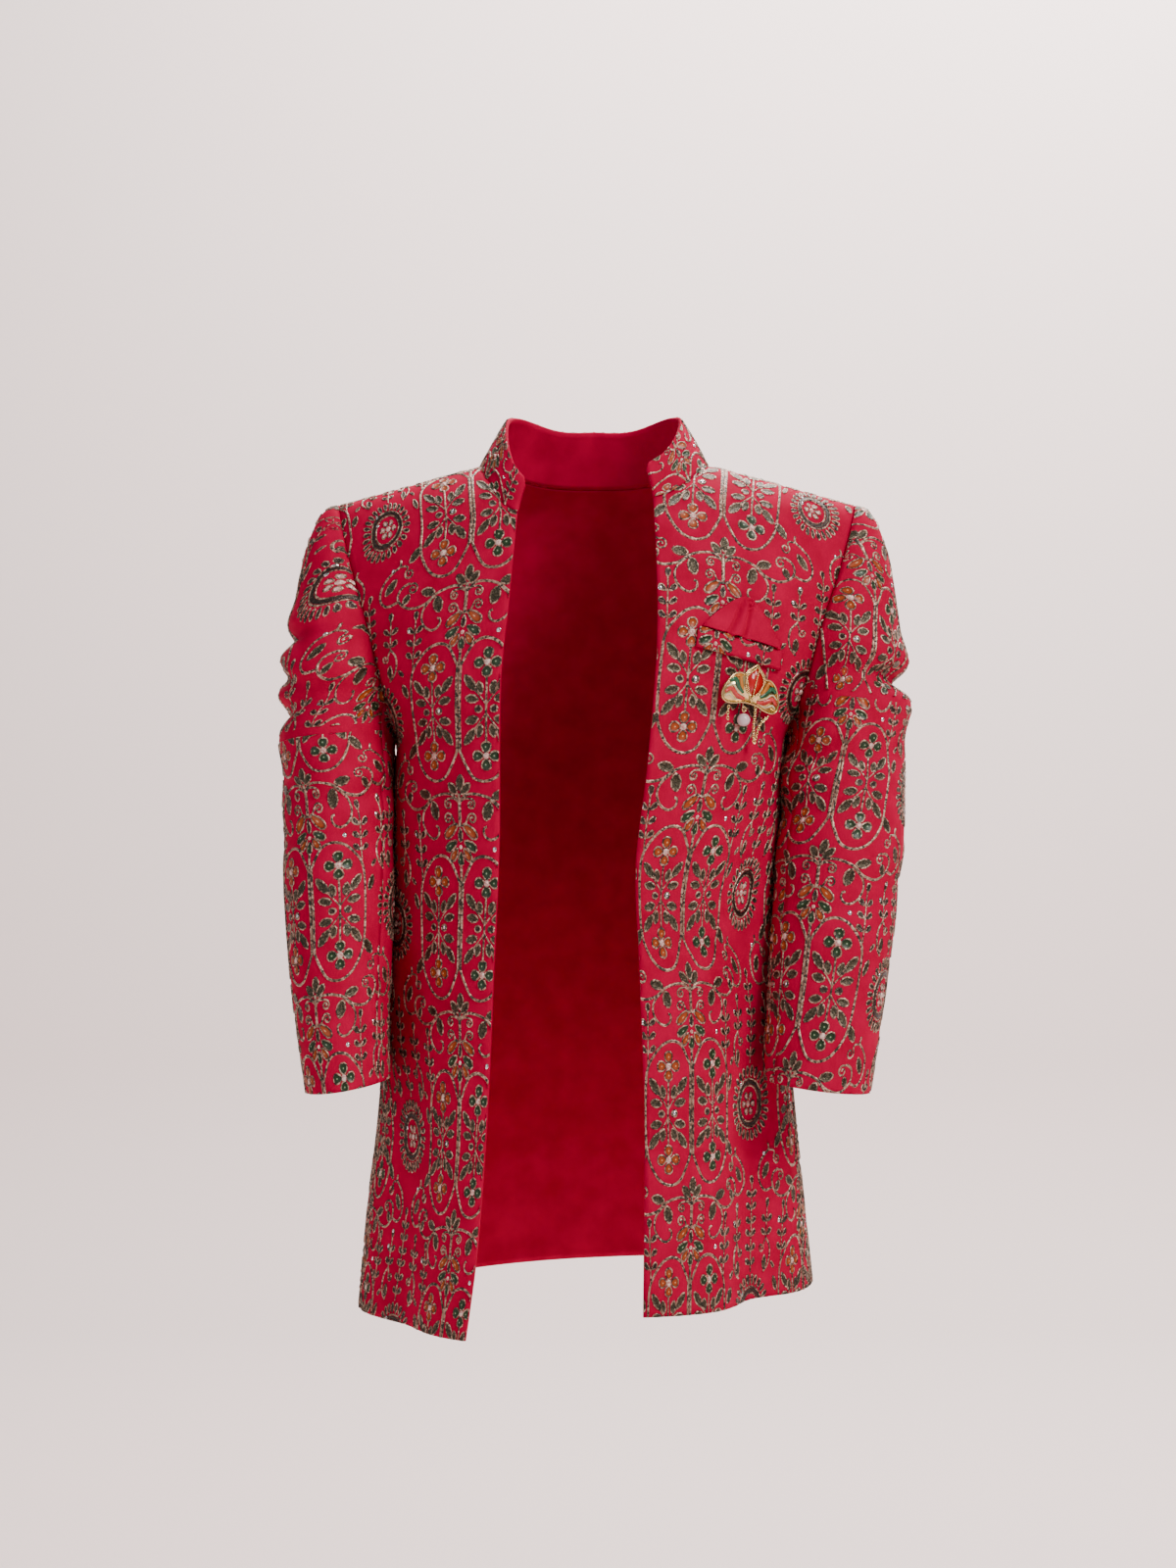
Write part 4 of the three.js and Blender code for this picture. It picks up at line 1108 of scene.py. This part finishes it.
# ---- The brooch's plate ----------------------------------------------------------------------------------
# A gold plate of two spread wings under a pointed crest. Wavy bands of green, coral, cream and orange
# enamel fill the wings, and beaded gold edges a crest of red enamel.
BROOCH_THICK = 2.4
BROOCH_TILT, BROOCH_X, BROOCH_Z, BROOCH_LIFT = 11, 89, -148, 5
seat, away = (found[0] for found in on_breast([BROOCH_X], [BROOCH_Z], BROOCH_LIFT))
upward = np.array([0, 0, 1]) - away * away[2]
upward /= np.linalg.norm(upward)
sideways = np.cross(upward, away)
brooch_frame = Matrix([[*(sideways[k], upward[k], away[k]), seat[k]] for k in range(3)] + [[0, 0, 0, 1]])
tilt = Matrix.Rotation(np.radians(-BROOCH_TILT), 4, "Z")
WING_EDGE = [(0, -4.5), (6, -4.9), (12, -6.6), (18, -7), (21.6, -5), (22.2, -0.6), (20, 5), (17, 9.4),
             (12.6, 12), (8, 12), (6.6, 14.2), (3.4, 16.6), (0, 19.5)]
CREST_EDGE = [(1.5, 0.5), (4.6, 2), (6.4, 6), (6.8, 10), (5.2, 13.2), (2.4, 15.6), (0, 18.4)]


def polished(name, colour, roughness, metallic):
    """A metal or enamel whose polish varies a little over it."""
    material = plain_material(name, colour, roughness, metallic)
    tree = material.node_tree
    where = tree.nodes.new("ShaderNodeTexCoord")
    wear = tree.nodes.new("ShaderNodeTexNoise")
    wear.inputs["Scale"].default_value = 300
    tree.links.new(where.outputs["Object"], wear.inputs["Vector"])
    polish = tree.nodes.new("ShaderNodeMapRange")
    polish.inputs["To Min"].default_value = roughness * 0.7
    polish.inputs["To Max"].default_value = roughness * 1.4
    tree.links.new(wear.outputs["Fac"], polish.inputs["Value"])
    tree.links.new(polish.outputs["Result"], tree.nodes["Principled BSDF"].inputs["Roughness"])
    return material


gold = polished("brooch_gold", (0.86, 0.64, 0.3), 0.24, 1.0)
enamels = [polished(f"{name}_enamel", colour, roughness, 0.0) for name, colour, roughness in (
    ("green", (0.02, 0.13, 0.06), 0.16), ("coral", (0.66, 0.05, 0.05), 0.16),
    ("cream", (0.8, 0.66, 0.42), 0.18),
    ("orange", (0.6, 0.2, 0.03), 0.16), ("red", (0.5, 0.008, 0.012), 0.14))]


def tube(bm, points, radius, sides=6):
    """A closed round wire along points: a grid rolled up round the line."""
    line = np.array(points, float)
    run = np.roll(line, -1, 0) - np.roll(line, 1, 0)
    run /= np.linalg.norm(run, axis=1, keepdims=True)
    beside = np.stack([-run[:, 1], run[:, 0], 0 * run[:, 0]], -1)
    count = len(line)
    made = bmesh.ops.create_grid(bm, x_segments=count, y_segments=sides, size=0.5)["verts"]
    for vert in made:
        i = round((vert.co.x + 0.5) * count) % count
        angle = 2 * np.pi * (vert.co.y + 0.5)
        vert.co = line[i] + radius * (np.cos(angle) * beside[i] + [0, 0, np.sin(angle)])
    bmesh.ops.remove_doubles(bm, verts=made, dist=1e-4)


def flat_piece(bm, outline, low, high, material):
    """A plate with the given outline, from one height to another."""
    made = bmesh.ops.create_circle(bm, cap_ends=True, segments=len(outline), radius=1)["verts"]
    for vert, (x, y) in zip(made, outline):
        vert.co = (x, y, low)
    face = made[0].link_faces[0]
    face.material_index = material
    for grown in bmesh.ops.extrude_face_region(bm, geom=[face])["geom"]:
        if isinstance(grown, bmesh.types.BMVert):
            grown.co.z = high


def both_sides(half):
    """A closed outline from its right half, which begins and ends near the middle."""
    return [*half, *((-x, y) for x, y in half[::-1] if x > 0)]


plate = bmesh.new()
wing_outline = both_sides(smooth_line(WING_EDGE, 1.0))
flat_piece(plate, wing_outline, 0, 1.5, 0)
tube(plate, [(x, y, 1.55) for x, y in wing_outline], 0.62)
flat_piece(plate, both_sides(smooth_line(CREST_EDGE, 1.0)), 1.4, 2.0, 5)
for points, wide, enamel in (
        ([(7.4, 2.4), (10.4, 7), (11.8, 10.4), (15, 9.4)], 2.4, 4),
        ([(6.8, 0.6), (11, 3.4), (14.6, 7.6), (18.4, 5.6)], 2.7, 1),
        ([(5.6, -1.4), (11, 0.4), (15.6, 4), (20.2, 1.8)], 0.9, 3),
        ([(5, -2.8), (11, -2), (16.4, 1.4), (20.6, -1.6)], 2.8, 2),
        ([(8, -4), (13, -4.2), (17.4, -2.2), (20, -4)], 1.1, 3)):
    for way in (-1, 1):
        line = smooth_line([(way * x, y) for x, y in points], 0.8)
        run = np.gradient(line, axis=0)
        run /= np.linalg.norm(run, axis=1, keepdims=True)
        width = wide / 2 * (0.35 + 0.65 * np.sin(np.pi * np.linspace(0.08, 0.92, len(line))))[:, None]
        off = np.stack([-run[:, 1], run[:, 0]], -1) * width
        flat_piece(plate, np.concatenate([line + off, (line - off)[::-1]]), 1.4, 2.05, enamel)
for line in (CREST_EDGE, [(-x, y) for x, y in CREST_EDGE], [(-7.6, 11.6), (-4, 4), (0.4, -3.8)],
             [(1.2, 16.4), (0.9, 6), (0.4, -3.8)], [(7.8, 10.6), (5, 4), (1.6, 0)]):
    for x, y in smooth_line(line, 1.15):
        made = bmesh.ops.create_icosphere(plate, subdivisions=1, radius=0.68)["verts"]
        for vert in made:
            vert.co += Vector((x, y, 2.3))


def jewel(name, bm, frame_matrix, *materials):
    """A piece of the brooch, its mesh drawn in the brooch's plane."""
    bmesh.ops.transform(bm, matrix=Matrix.Scale(MM, 4) @ frame_matrix, verts=bm.verts)
    bmesh.ops.recalc_face_normals(bm, faces=bm.faces)
    for face in bm.faces:
        face.smooth = True
    mesh = bpy.data.meshes.new(name)
    bm.to_mesh(mesh)
    bm.free()
    piece = bpy.data.objects.new(name, mesh)
    bpy.context.collection.objects.link(piece)
    dressed(piece, *materials)
    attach(piece, "root")
    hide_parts(name)
    return piece


jewel("brooch_plate", plate, brooch_frame @ tilt, gold, *enamels)

# ---- The brooch's chains and pearl -------------------------------------------------------------------------
# Fine twisted chains hang in a deep loop on one side and a short end on the other. A pearl hangs from a
# ring between them, held by a small gold cap.
CHAIN_Z = BROOCH_THICK / 2
LINK_STEP, LINK_RADIUS, LINK_WIRE = 1.45, 0.88, 0.36


def ring_of(bm, radius, wire, sides=10):
    """A wire ring in the x-y plane."""
    section = bmesh.ops.create_circle(bm, segments=6, radius=wire)["verts"]
    for vert in section:
        vert.co = Vector((vert.co.x + radius, 0, vert.co.y))
    edges = list({edge for vert in section for edge in vert.link_edges})
    bmesh.ops.spin(bm, geom=section + edges, cent=(0, 0, 0), axis=(0, 0, 1), angle=2 * np.pi, steps=sides,
                   use_merge=True)
    bmesh.ops.remove_doubles(bm, verts=bm.verts, dist=1e-4)


def chain(points):
    """Links along a smooth line, each turned a quarter from the last."""
    links = bmesh.new()
    line = smooth_line([(x, y, CHAIN_Z) for x, y in points], LINK_STEP)
    run = np.gradient(line, axis=0)
    one = bmesh.new()
    ring_of(one, LINK_RADIUS, LINK_WIRE, 8)
    shape = bpy.data.meshes.new("link")
    one.to_mesh(shape)
    one.free()
    for i, (at, way) in enumerate(zip(line, run)):
        before = len(links.verts)
        links.from_mesh(shape)
        links.verts.ensure_lookup_table()
        place = (Matrix.Translation(at) @ Vector(way).to_track_quat("X", "Z").to_matrix().to_4x4()
                 @ Matrix.Rotation(np.radians(40 + 95 * (i % 2)), 4, "X")
                 @ Matrix.Diagonal((1.25, 0.85, 1, 1)))
        bmesh.ops.transform(links, matrix=place, verts=links.verts[before:])
    return links


for name, points in (("brooch_chain_long", [(4.2, -7), (3.6, -18), (4.8, -28.3), (7.8, -18), (14, -12.4)]),
                     ("brooch_chain_short", [(-16.8, -6.8), (-17.1, -10), (-16.9, -13.4)])):
    jewel(name, chain(points), brooch_frame, gold)

PEARL_X, PEARL_Y, PEARL_RADIUS, BAIL_Y = -4.6, -14.4, 4, -8
bail = bmesh.new()
ring_of(bail, 1.5, 0.45, 14)
for foot_y, wide, tall in ((PEARL_Y + PEARL_RADIUS - 1.1, 2.1, 0.7),
                           (PEARL_Y - PEARL_RADIUS + 0.2, 1.5, 0.6)):
    cap = bmesh.ops.create_cone(bail, cap_ends=True, segments=12, radius1=wide, radius2=wide * 0.35,
                                depth=tall)["verts"]
    turn = 90 if foot_y < PEARL_Y else -90
    bmesh.ops.rotate(bail, verts=cap, cent=(0, 0, 0), matrix=Matrix.Rotation(np.radians(turn), 3, "X"))
    bmesh.ops.translate(bail, verts=cap, vec=(0, foot_y - BAIL_Y + 0.55, 0))
bmesh.ops.translate(bail, verts=bail.verts, vec=(PEARL_X, BAIL_Y, CHAIN_Z))
jewel("brooch_bail", bail, brooch_frame, gold)

pearl = bmesh.new()
bmesh.ops.create_uvsphere(pearl, u_segments=32, v_segments=20, radius=PEARL_RADIUS)
bmesh.ops.translate(pearl, verts=pearl.verts, vec=(PEARL_X, PEARL_Y, CHAIN_Z))
nacre = polished("nacre", (0.7, 0.52, 0.53), 0.2, 0.0)
nacre.node_tree.nodes["Principled BSDF"].inputs["Coat Weight"].default_value = 0.5
jewel("brooch_pearl", pearl, brooch_frame, nacre)
